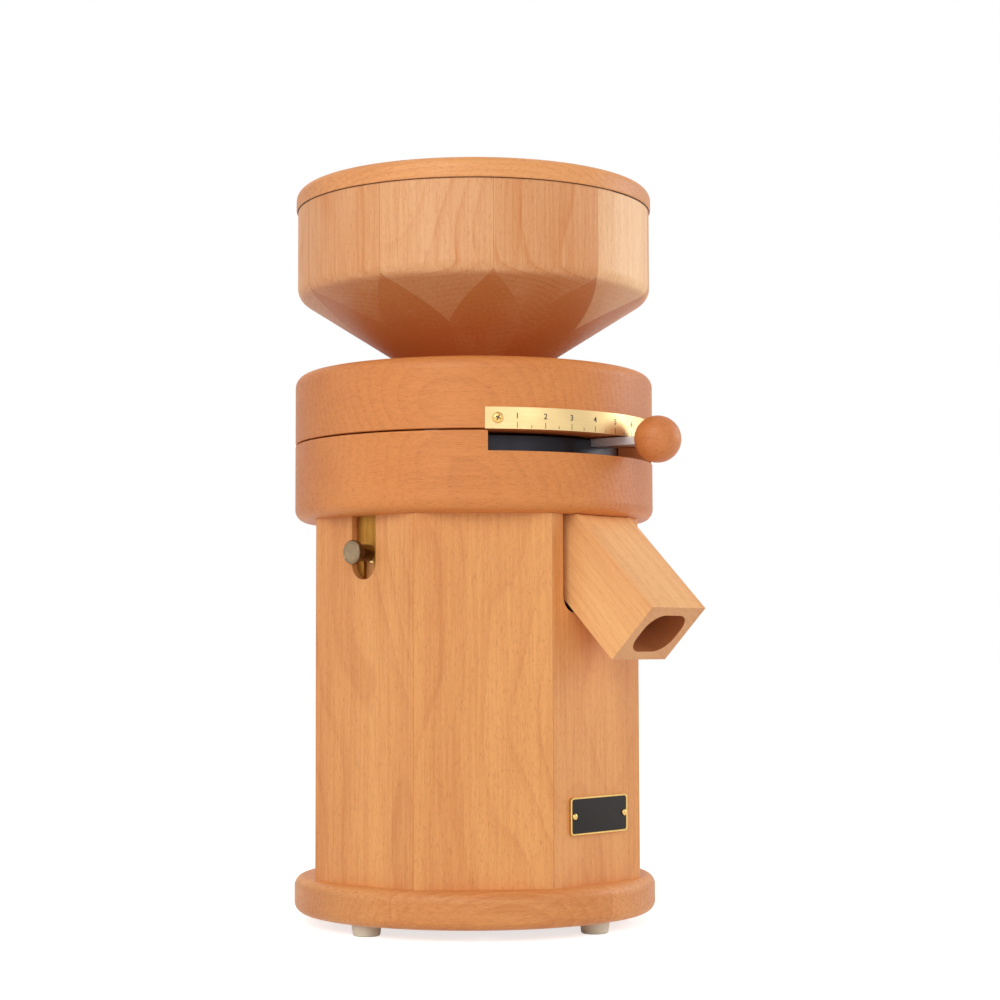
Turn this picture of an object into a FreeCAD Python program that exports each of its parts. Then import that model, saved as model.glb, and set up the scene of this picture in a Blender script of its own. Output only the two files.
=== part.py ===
"""Electric grain mill with an octagonal wooden body, in millimetres.

The origin is on the mill's axis at the plane its feet stand on. +Z is up, the spout and the
nameplate face -Y, and the two side locks are on -X and +X. Angles round the body are counted
from the front, positive towards +X.
"""
import FreeCAD
import Part
import Sketcher
import math
import os

from FreeCAD import Placement, Rotation, Vector

doc = FreeCAD.newDocument("GrainMill")

SIZES = (
    ("foot_height", 5.5, "height of a foot below the base"),
    ("foot_radius", 7.0, "foot radius at the base"),
    ("foot_tip_radius", 6.3, "foot radius at the floor"),
    ("foot_inset", 12.9, "from the rim of the base to a foot's axis"),
    ("base_thickness", 17.5, "base disc"),
    ("base_overhang", 10.6, "base rim beyond the flat of the body"),
    ("base_rounding", 5.0, "rounding of the base's edges"),
    ("octagon_apothem", 77.1, "axis to the flat of the body"),
    ("stave_length", 171.0, "height of the octagonal body"),
    ("stave_thickness", 18.0, "wood of the body"),
    ("corner_rounding", 2.0, "rounding of the body's upright corners"),
    ("ring_overhang", 10.9, "housing rings beyond the flat of the body"),
    ("ring_rounding", 6.0, "rounding of the housing rings"),
    ("seam_rounding", 0.6, "broken edges along the seams"),
    ("lower_ring_height", 37.2, "lower housing ring"),
    ("lower_ring_wall", 16.5, "wall of the lower ring beside the lever slot"),
    ("ledge_height", 10.0, "ledge that the adjusting ring turns on"),
    ("ring_gap", 0.8, "gap between the housing rings"),
    ("upper_ring_height", 33.8, "upper housing ring"),
    ("slot_height", 9.5, "lever slot"),
    ("slot_half_angle", 43.9, "lever slot, either side of the front"),
    ("hopper_radius", 87.1, "outside of the hopper"),
    ("hopper_height", 81.9, "housing to the rim of the hopper"),
    ("hopper_wall", 11.0, "wall of the hopper"),
    ("hopper_wall_height", 42.5, "upright part of the hopper"),
    ("hopper_floor", 13.8, "upright thickness of the hopper's cone"),
    ("hopper_corner", 8.0, "rounding between wall and cone"),
    ("shoulder_radius", 32.0, "collar that the hopper stands on"),
    ("shoulder_height", 4.6, "collar that the hopper stands on"),
    ("spigot_radius", 24.3, "hopper neck inside the housing"),
    ("spigot_length", 28.5, "hopper neck inside the housing"),
    ("hopper_bore", 15.0, "radius of the way down for the grain"),
    ("lid_overhang", 0.8, "lid beyond the hopper"),
    ("lid_thickness", 10.1, "visible thickness of the lid"),
    ("lid_rounding", 5.0, "upper edge of the lid"),
    ("lid_rebate", 5.0, "depth of the lid inside the hopper"),
    ("fit_gap", 0.3, "radial clearance of lift-off pieces"),
    ("screw_gap", 0.1, "radial clearance round screws and fixed pins"),
    ("running_gap", 0.05, "radial clearance of shafts and pins that turn"),
    ("spout_width", 40.0, "across the spout"),
    ("spout_thickness", 33.2, "spout, square to its slope"),
    ("spout_clearance", 0.2, "spout below the housing"),
    ("spout_overhang", 48.2, "flat of the body to the upper edge of the spout's end"),
    ("spout_ledge", 4.6, "level top of the spout outside the body"),
    ("spout_butt", 0.9, "inner end of the spout beyond the inside of the body"),
    ("spout_wall", 6.0, "side wall of the spout"),
    ("spout_bore_height", 23.0, "opening in the spout's end"),
    ("spout_bore_corner", 9.0, "rounding of the opening"),
    ("channel_height", 19.0, "level channel from the chamber to the spout"),
    ("channel_drop", 12.8, "housing down to the middle of the level channel"),
    ("cutout_margin", 4.5, "gap either side of the spout"),
    ("cutout_depth", 45.5, "cut-out for the spout, from the top of the body"),
    ("cutout_corner", 8.0, "rounding of the cut-out"),
    ("deck_drop", 29.0, "housing down to the top of the motor deck"),
    ("deck_thickness", 12.0, "motor deck"),
    ("bowl_floor", 5.0, "floor of the grinding chamber"),
    ("bowl_wall", 4.0, "wall of the grinding chamber"),
    ("bowl_gap", 0.7, "chamber to the inside of the body"),
    ("seal_thickness", 1.5, "felt ring on the chamber's rim"),
    ("ledge_gap", 2.1, "chamber's outside to the housing ring's bore"),
    ("adjuster_gap", 1.0, "adjusting ring in the lower ring"),
    ("adjuster_wall", 10.5, "wall of the adjusting ring"),
    ("carrier_thickness", 6.0, "plate of the stone carrier"),
    ("carrier_skirt", 9.7, "wall of the stone carrier's skirt"),
    ("carrier_drop", 10.4, "lower ring's top down to the carrier's top"),
    ("guide_pin_radius", 2.5, "pins that keep the carrier from turning"),
    ("guide_pin_length", 34.0, "pins that keep the carrier from turning"),
    ("guide_pin_depth", 12.0, "pins in the upper ring"),
    ("stone_radius", 40.0, "grinding stones"),
    ("stone_thickness", 18.0, "grinding stones"),
    ("stone_gap", 0.8, "gap between the stones at rest"),
    ("stone_throat", 16.5, "feed hole of the upper stone"),
    ("stone_bore", 12.1, "bore of the lower stone"),
    ("stone_recess", 8.0, "recess for the clamping nut"),
    ("feed_radius", 13.5, "bore of the feed tube"),
    ("feed_wall", 2.5, "wall of the feed tube"),
    ("feed_flange", 22.0, "flange of the feed tube"),
    ("flange_thickness", 2.0, "flange of the feed tube"),
    ("feed_length", 25.0, "feed tube"),
    ("feed_seat", 5.0, "wood below the hopper's neck"),
    ("shaft_radius", 7.0, "motor shaft"),
    ("thread_radius", 4.0, "threaded end of the shaft"),
    ("motor_radius", 50.0, "stator stack"),
    ("shield_radius", 52.0, "motor end shields"),
    ("shield_height", 14.0, "motor end shields"),
    ("stator_height", 44.0, "stator stack"),
    ("rotor_radius", 27.0, "rotor"),
    ("air_gap", 0.4, "rotor to stator"),
    ("coil_radius", 43.0, "outside of the winding heads"),
    ("coil_height", 8.0, "winding heads"),
    ("bearing_radius", 13.0, "outside of the ball bearings"),
    ("bearing_height", 9.0, "ball bearings"),
    ("fan_radius", 46.0, "cooling fan"),
    ("fan_blade", 8.0, "height of the fan's blades"),
    ("shaft_tail", 18.0, "shaft below the lower end shield"),
    ("scale_height", 10.0, "brass scale"),
    ("scale_thickness", 1.0, "brass scale"),
    ("scale_half_angle", 44.8, "brass scale, either side of the front"),
    ("scale_lap", 0.4, "scale below the upper ring"),
    ("scale_screw_angle", 41.0, "screws of the scale, either side of the front"),
    ("scale_step", 8.8, "angle from one number to the next"),
    ("lever_number", 6.0, "number that the lever points at"),
    ("lever_width", 12.0, "lever bar"),
    ("lever_thickness", 3.8, "lever bar"),
    ("lever_pin", 1.8, "radius of the pin inside the ball"),
    ("lever_pin_length", 14.0, "pin between the bar and the middle of the ball"),
    ("ball_radius", 11.1, "wooden ball of the lever"),
    ("ball_reach", 15.0, "ball's middle beyond the housing rings"),
    ("ball_rise", 0.5, "ball's middle above the lever bar's"),
    ("lock_slot_width", 15.6, "slot for a lock strap"),
    ("lock_slot_depth", 29.8, "slot for a lock strap, from the top of the body"),
    ("strap_recess", 3.3, "face of the strap behind the flat of the body"),
    ("strap_thickness", 2.0, "brass lock strap"),
    ("strap_leg", 12.3, "upper leg of the strap, under the lower ring"),
    ("lock_drop", 17.3, "housing down to the lock screw's axis"),
    ("lock_stud_radius", 3.0, "lock screw"),
    ("lock_stud_length", 12.3, "lock screw behind the strap"),
    ("lock_neck_radius", 4.0, "lock screw in front of the strap"),
    ("lock_neck_length", 8.7, "lock screw in front of the strap"),
    ("lock_head_radius", 5.65, "knurled head"),
    ("lock_head_length", 3.0, "knurled head"),
    ("insert_wall", 1.5, "threaded insert"),
    ("plate_width", 42.0, "nameplate"),
    ("plate_height", 17.5, "nameplate"),
    ("plate_thickness", 1.2, "nameplate"),
    ("plate_corner", 2.0, "nameplate"),
    ("plate_rise", 31.8, "base to the middle of the nameplate"),
    ("plate_pin_spacing", 18.3, "middle of the nameplate to a pin"),
    ("switch_width", 19.0, "body of the rear switch"),
    ("switch_height", 26.0, "body of the rear switch"),
    ("switch_rim", 2.5, "rim of the rear switch"),
    ("switch_rise", 55.0, "base to the middle of the rear switch"),
    ("rocker_width", 14.0, "rocker of the rear switch"),
    ("rocker_half", 10.5, "half the length of the rocker"),
    ("rocker_tilt", 6.0, "rocker to either side of level"),
    ("gland_radius", 8.0, "cable gland in the rear stave"),
    ("gland_bore", 3.6, "cable gland"),
    ("gland_rise", 16.0, "base to the cable gland's axis"),
    ("gland_side", -12.0, "cable gland, sideways"),
    ("small_screw_radius", 1.5, "feet, strap and lever screws"),
    ("motor_screw_radius", 2.5, "motor bolts and screws"),
)

# Each level is a height above the floor, each place a distance from the axis.
DERIVED = (
    ("base_bottom", "Size.foot_height"),
    ("base_top", "base_bottom + Size.base_thickness"),
    ("base_radius", "Size.octagon_apothem + Size.base_overhang"),
    ("foot_circle", "base_radius - Size.foot_inset"),
    ("body_top", "base_top + Size.stave_length"),
    ("inner_apothem", "Size.octagon_apothem - Size.stave_thickness"),
    ("stave_middle", "Size.octagon_apothem - Size.stave_thickness / 2"),
    ("ring_radius", "Size.octagon_apothem + Size.ring_overhang"),
    ("lower_ring_top", "body_top + Size.lower_ring_height"),
    ("lower_ring_bore", "ring_radius - Size.lower_ring_wall"),
    ("slot_bottom", "lower_ring_top - Size.slot_height"),
    ("ledge_top", "body_top + Size.ledge_height"),
    ("upper_ring_bottom", "lower_ring_top + Size.ring_gap"),
    ("upper_ring_top", "upper_ring_bottom + Size.upper_ring_height"),
    ("neck_bore", "Size.spigot_radius + Size.fit_gap"),
    ("feed_outer", "Size.feed_radius + Size.feed_wall"),
    ("feed_top", "upper_ring_bottom + Size.feed_seat"),
    ("feed_bottom", "feed_top - Size.feed_length"),
    ("shoulder_top", "upper_ring_top + Size.shoulder_height"),
    ("hopper_top", "upper_ring_top + Size.hopper_height"),
    ("cone_top", "hopper_top - Size.hopper_wall_height"),
    ("cone_slope", "(cone_top - shoulder_top) / (Size.hopper_radius - Size.shoulder_radius)"),
    ("hopper_inside", "Size.hopper_radius - Size.hopper_wall"),
    ("bowl_corner", "cone_top - Size.hopper_wall * cone_slope + Size.hopper_floor"),
    ("throat_top", "shoulder_top - (Size.shoulder_radius - Size.hopper_bore) * cone_slope + Size.hopper_floor"),
    ("lid_radius", "Size.hopper_radius + Size.lid_overhang"),
    ("lid_top", "hopper_top + Size.lid_thickness"),
    ("deck_top", "body_top - Size.deck_drop"),
    ("deck_bottom", "deck_top - Size.deck_thickness"),
    ("bowl_floor_top", "deck_top + Size.bowl_floor"),
    ("bowl_top", "body_top - Size.seal_thickness"),
    ("bowl_radius", "inner_apothem - Size.bowl_gap"),
    ("bowl_inside", "bowl_radius - Size.bowl_wall"),
    ("ledge_bore", "bowl_radius + Size.ledge_gap"),
    ("adjuster_radius", "lower_ring_bore - Size.adjuster_gap"),
    ("adjuster_bore", "adjuster_radius - Size.adjuster_wall"),
    ("carrier_radius", "adjuster_bore - Size.fit_gap"),
    ("carrier_inside", "carrier_radius - Size.carrier_skirt"),
    ("carrier_top", "lower_ring_top - Size.carrier_drop"),
    ("stone_seat", "carrier_top - Size.carrier_thickness"),
    ("upper_stone_bottom", "stone_seat - Size.stone_thickness"),
    ("lower_stone_top", "upper_stone_bottom - Size.stone_gap"),
    ("lower_stone_bottom", "lower_stone_top - Size.stone_thickness"),
    ("stone_recess_floor", "lower_stone_top - Size.stone_recess"),
    ("guide_circle", "carrier_radius - Size.carrier_skirt / 2"),
    ("stator_top", "deck_bottom - Size.shield_height"),
    ("stator_bottom", "stator_top - Size.stator_height"),
    ("shield_bottom", "stator_bottom - Size.shield_height"),
    ("stator_bore", "Size.rotor_radius + Size.air_gap"),
    ("shaft_bottom", "shield_bottom - Size.shaft_tail"),
    ("shaft_bore", "Size.shaft_radius + Size.running_gap"),
    ("channel_middle", "body_top - Size.channel_drop"),
    ("spout_top", "body_top - Size.spout_clearance"),
    ("spout_inner", "inner_apothem + Size.spout_butt"),
    ("spout_reach", "Size.octagon_apothem + Size.spout_overhang"),
    ("spout_line", "Size.octagon_apothem + Size.spout_ledge + spout_top"),
    ("spout_underline", "spout_line - Size.spout_thickness * sqrt(2)"),
    ("bore_line", "spout_line - Size.spout_thickness * cos(45)"),
    ("bore_width", "Size.spout_width - 2 * Size.spout_wall"),
    ("scale_bottom", "upper_ring_bottom - Size.scale_lap"),
    ("scale_middle", "scale_bottom + Size.scale_height / 2"),
    ("spout_screw_side", "Size.spout_width / 2 - Size.spout_wall / 2"),
    ("lever_top", "lower_ring_top"),
    ("lever_bottom", "lever_top - Size.lever_thickness"),
    ("lever_middle", "lever_top - Size.lever_thickness / 2"),
    ("lever_angle", "(Size.lever_number - 5) * Size.scale_step"),
    ("ball_circle", "ring_radius + Size.ball_reach"),
    ("ball_level", "lever_middle + Size.ball_rise"),
    ("lock_level", "body_top - Size.lock_drop"),
    ("strap_face", "Size.octagon_apothem - Size.strap_recess"),
    ("strap_back", "strap_face - Size.strap_thickness"),
    ("pocket_floor", "strap_back - Size.screw_gap"),
    ("slot_centre", "body_top - Size.lock_slot_depth + Size.lock_slot_width / 2"),
    ("strap_half", "Size.lock_slot_width / 2 - Size.fit_gap"),
    ("neck_end", "strap_face + Size.lock_neck_length"),
    ("insert_radius", "Size.lock_stud_radius + Size.insert_wall"),
    ("plate_middle", "base_top + Size.plate_rise"),
    ("switch_middle", "base_top + Size.switch_rise"),
    ("gland_level", "base_top + Size.gland_rise"),
)


def fill_sheet(name, rows):
    """Writes rows of alias, content and note into a new spreadsheet."""
    sheet = doc.addObject("Spreadsheet::Sheet", name)
    for index, (alias, content, *note) in enumerate(rows, start=1):
        sheet.set(f"A{index}", alias.replace("_", " "))
        sheet.set(f"B{index}", str(content))
        sheet.setAlias(f"B{index}", alias)
        sheet.set(f"C{index}", note[0] if note else "")
    doc.recompute()
    return sheet


sizes = fill_sheet("Size", SIZES)
fill_sheet("At", [(alias, f"={formula}") for alias, formula in DERIVED])

PART_FOLDER = "parts"
FRONT = Rotation(Vector(1, 0, 0), 90)
REAR = Rotation(Vector(1, 0, 0), -90)
UPSIDE_DOWN = Rotation(Vector(1, 0, 0), 180)
UPRIGHT = Rotation()
ACROSS = Rotation(Vector(0, 1, 0), 90)
MARGIN = 2
QUARTERS = (0, 90, 180, 270)
DIAGONALS = (45, 135, 225, 315)
SIDES = (-90, 90)
nodes = {}


def number(formula):
    """The value of a formula over the two spreadsheets."""
    return float(sizes.evalExpression(str(formula)))


def tie(thing, prop, formula):
    """Binds a property to a formula over the two spreadsheets."""
    thing.setExpression(prop, str(formula))


def place(thing, at=(0, 0, 0), turn=UPRIGHT):
    """Puts a piece at x, y, z after turning it."""
    thing.Placement = Placement(Vector(), turn)
    for axis, formula in zip("xyz", at):
        if formula:
            tie(thing, f"Placement.Base.{axis}", formula)
    return thing


def cylinder(name, radius, height, at=(0, 0, 0), turn=UPRIGHT, angle=360):
    rod = doc.addObject("Part::Cylinder", name)
    tie(rod, "Radius", radius)
    tie(rod, "Height", height)
    tie(rod, "Angle", angle)
    return place(rod, at, turn)


def box(name, size, at=(0, 0, 0), turn=UPRIGHT):
    block = doc.addObject("Part::Box", name)
    for prop, formula in zip(("Length", "Width", "Height"), size):
        tie(block, prop, formula)
    return place(block, at, turn)


def cut(name, base, *tools):
    """Takes each tool out of the base in turn."""
    for index, tool in enumerate(tools, start=1):
        step = doc.addObject("Part::Cut", f"{name}_cut_{index}")
        step.Base = base
        step.Tool = tool
        base = step
    return base


def fuse(name, *shapes):
    joined = doc.addObject("Part::MultiFuse", name)
    joined.Shapes = list(shapes)
    joined.Refine = True
    return joined


def copy_turned(name, original, angle):
    """A copy of a piece, turned about the mill's axis."""
    twin = doc.addObject("App::Link", name)
    twin.LinkedObject = original
    twin.LinkTransform = True
    twin.Placement = Placement(Vector(), Rotation(Vector(0, 0, 1), 1))
    tie(twin, "Placement.Rotation.Angle", angle)
    return twin


def around(name, original, angles):
    """A group of copies of a piece that was made at the front, one at each angle."""
    group = doc.addObject("Part::Compound", name)
    group.Links = [copy_turned(f"{name}_{i}", original, angle) for i, angle in enumerate(angles, 1)]
    return group


def together(name, *pieces):
    """A group of separate solids that share one node."""
    group = doc.addObject("Part::Compound", name)
    group.Links = list(pieces)
    return group


def both_sides(name, original):
    """A group of a piece and its mirror image across the YZ plane."""
    mirror = doc.addObject("Part::Mirroring", f"{name}_mirrored")
    mirror.Source = original
    mirror.Normal = Vector(1, 0, 0)
    return together(name, original, mirror)


def sketch_in(body, role, start=0):
    """A sketch on one of a body's own origin planes, moved along its normal."""
    sketch = body.newObject("Sketcher::SketchObject", f"{body.Name}_sketch")
    plane = next(feature for feature in body.Origin.OriginFeatures if feature.Role == role)
    sketch.AttachmentSupport = [(plane, "")]
    sketch.MapMode = "FlatFace"
    if start:
        tie(sketch, "AttachmentOffset.Base.z", start)
    return sketch


def constrain(sketch, kind, *parts, formula=None):
    """Adds a constraint, with its value tied to a formula."""
    if formula is None:
        sketch.addConstraint(Sketcher.Constraint(kind, *parts))
        return
    index = sketch.addConstraint(Sketcher.Constraint(kind, *parts, number(formula)))
    if isinstance(formula, str):
        tie(sketch, f"Constraints[{index}]", formula)


def pin_point(sketch, geometry, position, x, y):
    constrain(sketch, "DistanceX", -1, 1, geometry, position, formula=x)
    constrain(sketch, "DistanceY", -1, 1, geometry, position, formula=y)


def outline(sketch, corners):
    """Draws a closed outline through corners of x, y and an optional rounding radius."""
    points = [Vector(number(corner[0]), number(corner[1]), 0) for corner in corners]
    count = len(corners)
    ends = []
    for i, corner in enumerate(corners):
        before = (points[i - 1] - points[i]).normalize()
        after = (points[(i + 1) % count] - points[i]).normalize()
        if len(corner) == 2:
            ends.append((points[i], points[i], None))
            continue
        radius = number(corner[2])
        half = before.getAngle(after) / 2
        reach = radius / math.tan(half)
        centre = points[i] + (before + after).normalize() * (radius / math.sin(half))
        middle = centre + (points[i] - centre).normalize() * radius
        ends.append((points[i] + before * reach, points[i] + after * reach, middle))
    lines = []
    for i in range(count):
        start = ends[i][1]
        finish = ends[(i + 1) % count][0]
        lines.append(sketch.addGeometry(Part.LineSegment(start, finish), False))
    for i, corner in enumerate(corners):
        incoming = lines[i - 1]
        outgoing = lines[i]
        if len(corner) == 2:
            constrain(sketch, "Coincident", incoming, 2, outgoing, 1)
            pin_point(sketch, outgoing, 1, corner[0], corner[1])
            continue
        first, last, middle = ends[i]
        arc = sketch.addGeometry(Part.Arc(first, middle, last), False)
        corner_point = sketch.addGeometry(Part.Point(points[i]), True)
        forward = (last - first).cross(points[i] - first).z < 0
        constrain(sketch, "Tangent", incoming, 2, arc, 1 if forward else 2)
        constrain(sketch, "Tangent", arc, 2 if forward else 1, outgoing, 1)
        pin_point(sketch, corner_point, 1, corner[0], corner[1])
        constrain(sketch, "PointOnObject", corner_point, 1, incoming)
        constrain(sketch, "PointOnObject", corner_point, 1, outgoing)
        constrain(sketch, "Radius", arc, formula=corner[2])


def turned(name, corners, at=(0, 0, 0), turn=UPRIGHT):
    """A turned piece: an outline of radius, height and optional rounding, spun about Z."""
    body = doc.addObject("PartDesign::Body", name)
    sketch = sketch_in(body, "XZ_Plane")
    outline(sketch, corners)
    spin = body.newObject("PartDesign::Revolution", f"{name}_revolution")
    spin.Profile = sketch
    spin.ReferenceAxis = (sketch, ["V_Axis"])
    spin.Angle = 360
    return place(body, at, turn)


def prism(name, outlines, role, start, length, at=(0, 0, 0), turn=UPRIGHT):
    """A straight piece: outlines on an origin plane, padded along the plane's normal."""
    body = doc.addObject("PartDesign::Body", name)
    sketch = sketch_in(body, role, start)
    for corners in outlines:
        outline(sketch, corners)
    pad = body.newObject("PartDesign::Pad", f"{name}_pad")
    pad.Profile = sketch
    tie(pad, "Length", length)
    return place(body, at, turn)


def octagon(apothem, rounding=None):
    """The eight corners of an octagon that has a flat at the front."""
    corners = []
    for turn in range(8):
        angle = 22.5 + 45 * turn
        corner = [f"{apothem} / cos(22.5) * sin({angle})", f"-{apothem} / cos(22.5) * cos({angle})"]
        corners.append(corner + [rounding] if rounding else corner)
    return corners


def rectangle(half_width, bottom, top, rounding=None):
    corners = [
        [f"-({half_width})", bottom],
        [half_width, bottom],
        [half_width, top],
        [f"-({half_width})", top],
    ]
    return [corner + [rounding] if rounding else corner for corner in corners]


def flat_screw(name, radius, head_radius, head_height, length, at, turn):
    """A countersunk slotted screw, head at the origin and shank along +Z."""
    blank = turned(
        f"{name}_blank",
        [(0, 0), (head_radius, 0), (radius, head_height), (radius, length), (0, length + radius)],
    )
    slot = box(f"{name}_slot", (2 * head_radius + MARGIN, 0.8, 0.9), (-head_radius - 1, -0.4, -0.1))
    return place(cut(name, blank, slot), at, turn)


def flat_screw_hole(name, radius, head_radius, head_height, length, at, turn):
    """The countersunk hole for such a screw, with clearance all round."""
    gap = number("Size.screw_gap")
    wide = head_radius + gap
    narrow = radius + gap
    end = length + radius + 1
    corners = [(0, -1), (wide, -1), (wide, 0), (narrow, head_height), (narrow, end), (0, end)]
    return turned(name, corners, at, turn)


def keep(name, piece):
    """Names a finished sub-part and puts it on the list of what is written out."""
    piece.Label = name
    nodes[name] = piece
    return piece


FOOT_WELL = 3.6
FOOT_SCREW_END = 18.5


def make_feet():
    """Four rubber feet, each with a screw whose head is sunk in the rubber."""
    shank = "Size.small_screw_radius"
    way = f"{shank} + Size.screw_gap"
    seat = 3
    foot = turned("foot", [
        (way, "Size.foot_height"),
        (way, seat),
        (FOOT_WELL, seat),
        (FOOT_WELL, 0),
        ("Size.foot_tip_radius", 0, 1),
        ("Size.foot_radius", "Size.foot_height"),
    ], (0, "-At.foot_circle", 0))
    keep("feet", around("feet_group", foot, QUARTERS))
    head = FOOT_WELL - 0.6
    screw = turned("foot_screw", [
        (0, 1.2), (head, 1.2, 0.5), (head, seat), (shank, seat), (shank, FOOT_SCREW_END - 1.5), (0, FOOT_SCREW_END),
    ], (0, "-At.foot_circle", 0))
    keep("foot_screws", around("foot_screw_group", screw, QUARTERS))


BASE_SCREW = (2.2, 4.2, 3.0, 45)
VENT_RADIUS = 4
VENT_CIRCLE = 38


def make_base_plate():
    disc = turned("base_disc", [
        (0, "At.base_bottom"),
        ("At.base_radius", "At.base_bottom", "Size.base_rounding"),
        ("At.base_radius", "At.base_top", "Size.base_rounding"),
        (0, "At.base_top"),
    ])
    vent = cylinder("vent", VENT_RADIUS, "Size.base_thickness + 2", (0, -VENT_CIRCLE, "At.base_bottom - 1"))
    foot_hole = cylinder("foot_screw_hole", "Size.small_screw_radius + Size.screw_gap", 14,
                         (0, "-At.foot_circle", "At.base_bottom - 1"))
    place_of_screw = (0, "-At.stave_middle", "At.base_bottom")
    screw_hole = flat_screw_hole("base_screw_hole", *BASE_SCREW, place_of_screw, UPRIGHT)
    keep("base_plate", cut(
        "base_plate", disc,
        around("vents", vent, range(0, 360, 30)),
        around("foot_screw_holes", foot_hole, QUARTERS),
        around("base_screw_holes", screw_hole, DIAGONALS),
    ))
    screw = flat_screw("base_screw", *BASE_SCREW, place_of_screw, UPRIGHT)
    keep("base_screws", around("base_screw_group", screw, DIAGONALS))
    return screw_hole


def make_staves(base_screw_hole):
    """Eight mitred staves. The front one has the spout's cut-out, the side ones a lock slot each."""
    tube = prism("stave_tube", [
        octagon("Size.octagon_apothem", "Size.corner_rounding"),
        octagon("At.inner_apothem"),
    ], "XY_Plane", "At.base_top", "Size.stave_length")
    far = "(Size.octagon_apothem + 10)"
    wedge = prism("stave_wedge", [[
        (0, 0), (f"-{far} * tan(22.5)", f"-{far}"), (f"{far} * tan(22.5)", f"-{far}"),
    ]], "XY_Plane", "At.base_top - 1", "Size.stave_length + 2")
    stave = doc.addObject("Part::Common", "plain_stave")
    stave.Base = tube
    stave.Tool = wedge

    half_cutout = "Size.spout_width / 2 + Size.cutout_margin"
    cutout = prism("spout_cutout", [[
        (f"-({half_cutout})", "At.body_top + 1"),
        (f"-({half_cutout})", "At.body_top - Size.cutout_depth", "Size.cutout_corner"),
        (half_cutout, "At.body_top - Size.cutout_depth", "Size.cutout_corner"),
        (half_cutout, "At.body_top + 1"),
    ]], "XZ_Plane", "At.inner_apothem - 1", "Size.stave_thickness + 2")
    pin_hole = cylinder("plate_pin_hole", 0.85, 9,
                        ("Size.plate_pin_spacing", "-Size.octagon_apothem - 1", "At.plate_middle"), REAR)
    keep("front_stave", cut("front_stave", stave, cutout, both_sides("plate_pin_holes", pin_hole)))

    pocket_depth = "Size.octagon_apothem - At.pocket_floor + 1"
    pocket_end = cylinder("pocket_end", "Size.lock_slot_width / 2", pocket_depth,
                          (0, "-At.pocket_floor", "At.slot_centre"), FRONT)
    pocket_slot = box("pocket_slot", ("Size.lock_slot_width", pocket_depth, "Size.lock_slot_depth"),
                      ("-Size.lock_slot_width / 2", "-Size.octagon_apothem - 1", "At.slot_centre"))
    insert_hole = cylinder("insert_hole", "At.insert_radius + Size.screw_gap", "Size.stave_thickness",
                           (0, "1 - At.inner_apothem", "At.lock_level"), FRONT)
    side_tools = [fuse("lock_pocket", pocket_end, pocket_slot), insert_hole]
    for name, angle in zip(("left_stave", "right_stave"), SIDES):
        tools = [around(f"{name}_tool_{i}", tool, (angle,)) for i, tool in enumerate(side_tools, 1)]
        keep(name, cut(name, around(f"{name}_blank", stave, (angle,)), *tools))

    switch_hole = box("switch_hole", ("Size.switch_width", "Size.stave_thickness + 2", "Size.switch_height"),
                      ("-Size.switch_width / 2", "At.inner_apothem - 1",
                       "At.switch_middle - Size.switch_height / 2"))
    gland_hole = cylinder("gland_hole", "Size.gland_radius + Size.screw_gap", "Size.stave_thickness + 2",
                          ("Size.gland_side", "At.inner_apothem - 1", "At.gland_level"), REAR)
    keep("rear_stave", cut("rear_stave", around("rear_stave_blank", stave, (180,)), switch_hole, gland_hole))

    corner = cut("corner_stave", copy_turned("corner_blank", stave, 0), base_screw_hole)
    keep("corner_staves", around("corner_stave_group", corner, DIAGONALS))


MOTOR_SCREW_CIRCLE = 48
TIE_BOLT_CIRCLE = 46.8
BOWL_SCREW_CIRCLE = 45
BOWL_SCREW = (1.9, 3.6, 2.6, 14)


def make_motor_deck():
    deck = prism("deck_blank", [octagon("At.inner_apothem")], "XY_Plane", "At.deck_bottom",
                 "Size.deck_thickness")
    boss_hole = cylinder("boss_hole", 16.2, "Size.deck_thickness + 2", (0, 0, "At.deck_bottom - 1"))
    shank_hole = cylinder("motor_screw_hole", "Size.motor_screw_radius + Size.screw_gap",
                          "Size.deck_thickness + 2", (0, -MOTOR_SCREW_CIRCLE, "At.deck_bottom - 1"))
    head_hole = cylinder("motor_head_hole", 5, 6, (0, -MOTOR_SCREW_CIRCLE, "At.deck_top - 4.5"))
    bowl_hole = flat_screw_hole("bowl_screw_hole", *BOWL_SCREW,
                                (0, -BOWL_SCREW_CIRCLE, "At.bowl_floor_top"), UPSIDE_DOWN)
    bowl_holes = around("bowl_screw_holes", bowl_hole, DIAGONALS)
    keep("motor_deck", cut(
        "motor_deck", deck, boss_hole,
        around("motor_screw_holes", shank_hole, QUARTERS),
        around("motor_head_holes", head_hole, QUARTERS),
        bowl_holes,
    ))
    screw = turned("motor_screw", [
        (0, "At.deck_top - 0.5"),
        (4.5, "At.deck_top - 0.5", 0.6),
        (4.5, "At.deck_top - 4.5"),
        ("Size.motor_screw_radius", "At.deck_top - 4.5"),
        ("Size.motor_screw_radius", "At.deck_bottom - 8"),
        (0, "At.deck_bottom - 8"),
    ], (0, -MOTOR_SCREW_CIRCLE, 0))
    keep("motor_screws", around("motor_screw_group", screw, QUARTERS))
    return bowl_holes


SPOUT_SCREW = (1.75, 3.3, 2.2, 14)
SPOUT_SCREW_PLACE = ("At.spout_screw_side", "-At.spout_inner + 4.5", "At.channel_middle")


def spout_screw_holes():
    """Two holes through the chamber's boss into the spout, one each side of the channel."""
    hole = flat_screw_hole("spout_screw_hole", *SPOUT_SCREW, SPOUT_SCREW_PLACE, FRONT)
    access = cylinder("spout_screw_access", SPOUT_SCREW[1] + 0.1, 12, SPOUT_SCREW_PLACE, REAR)
    return both_sides("spout_screw_holes", fuse("screw_way", hole, access))


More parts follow.
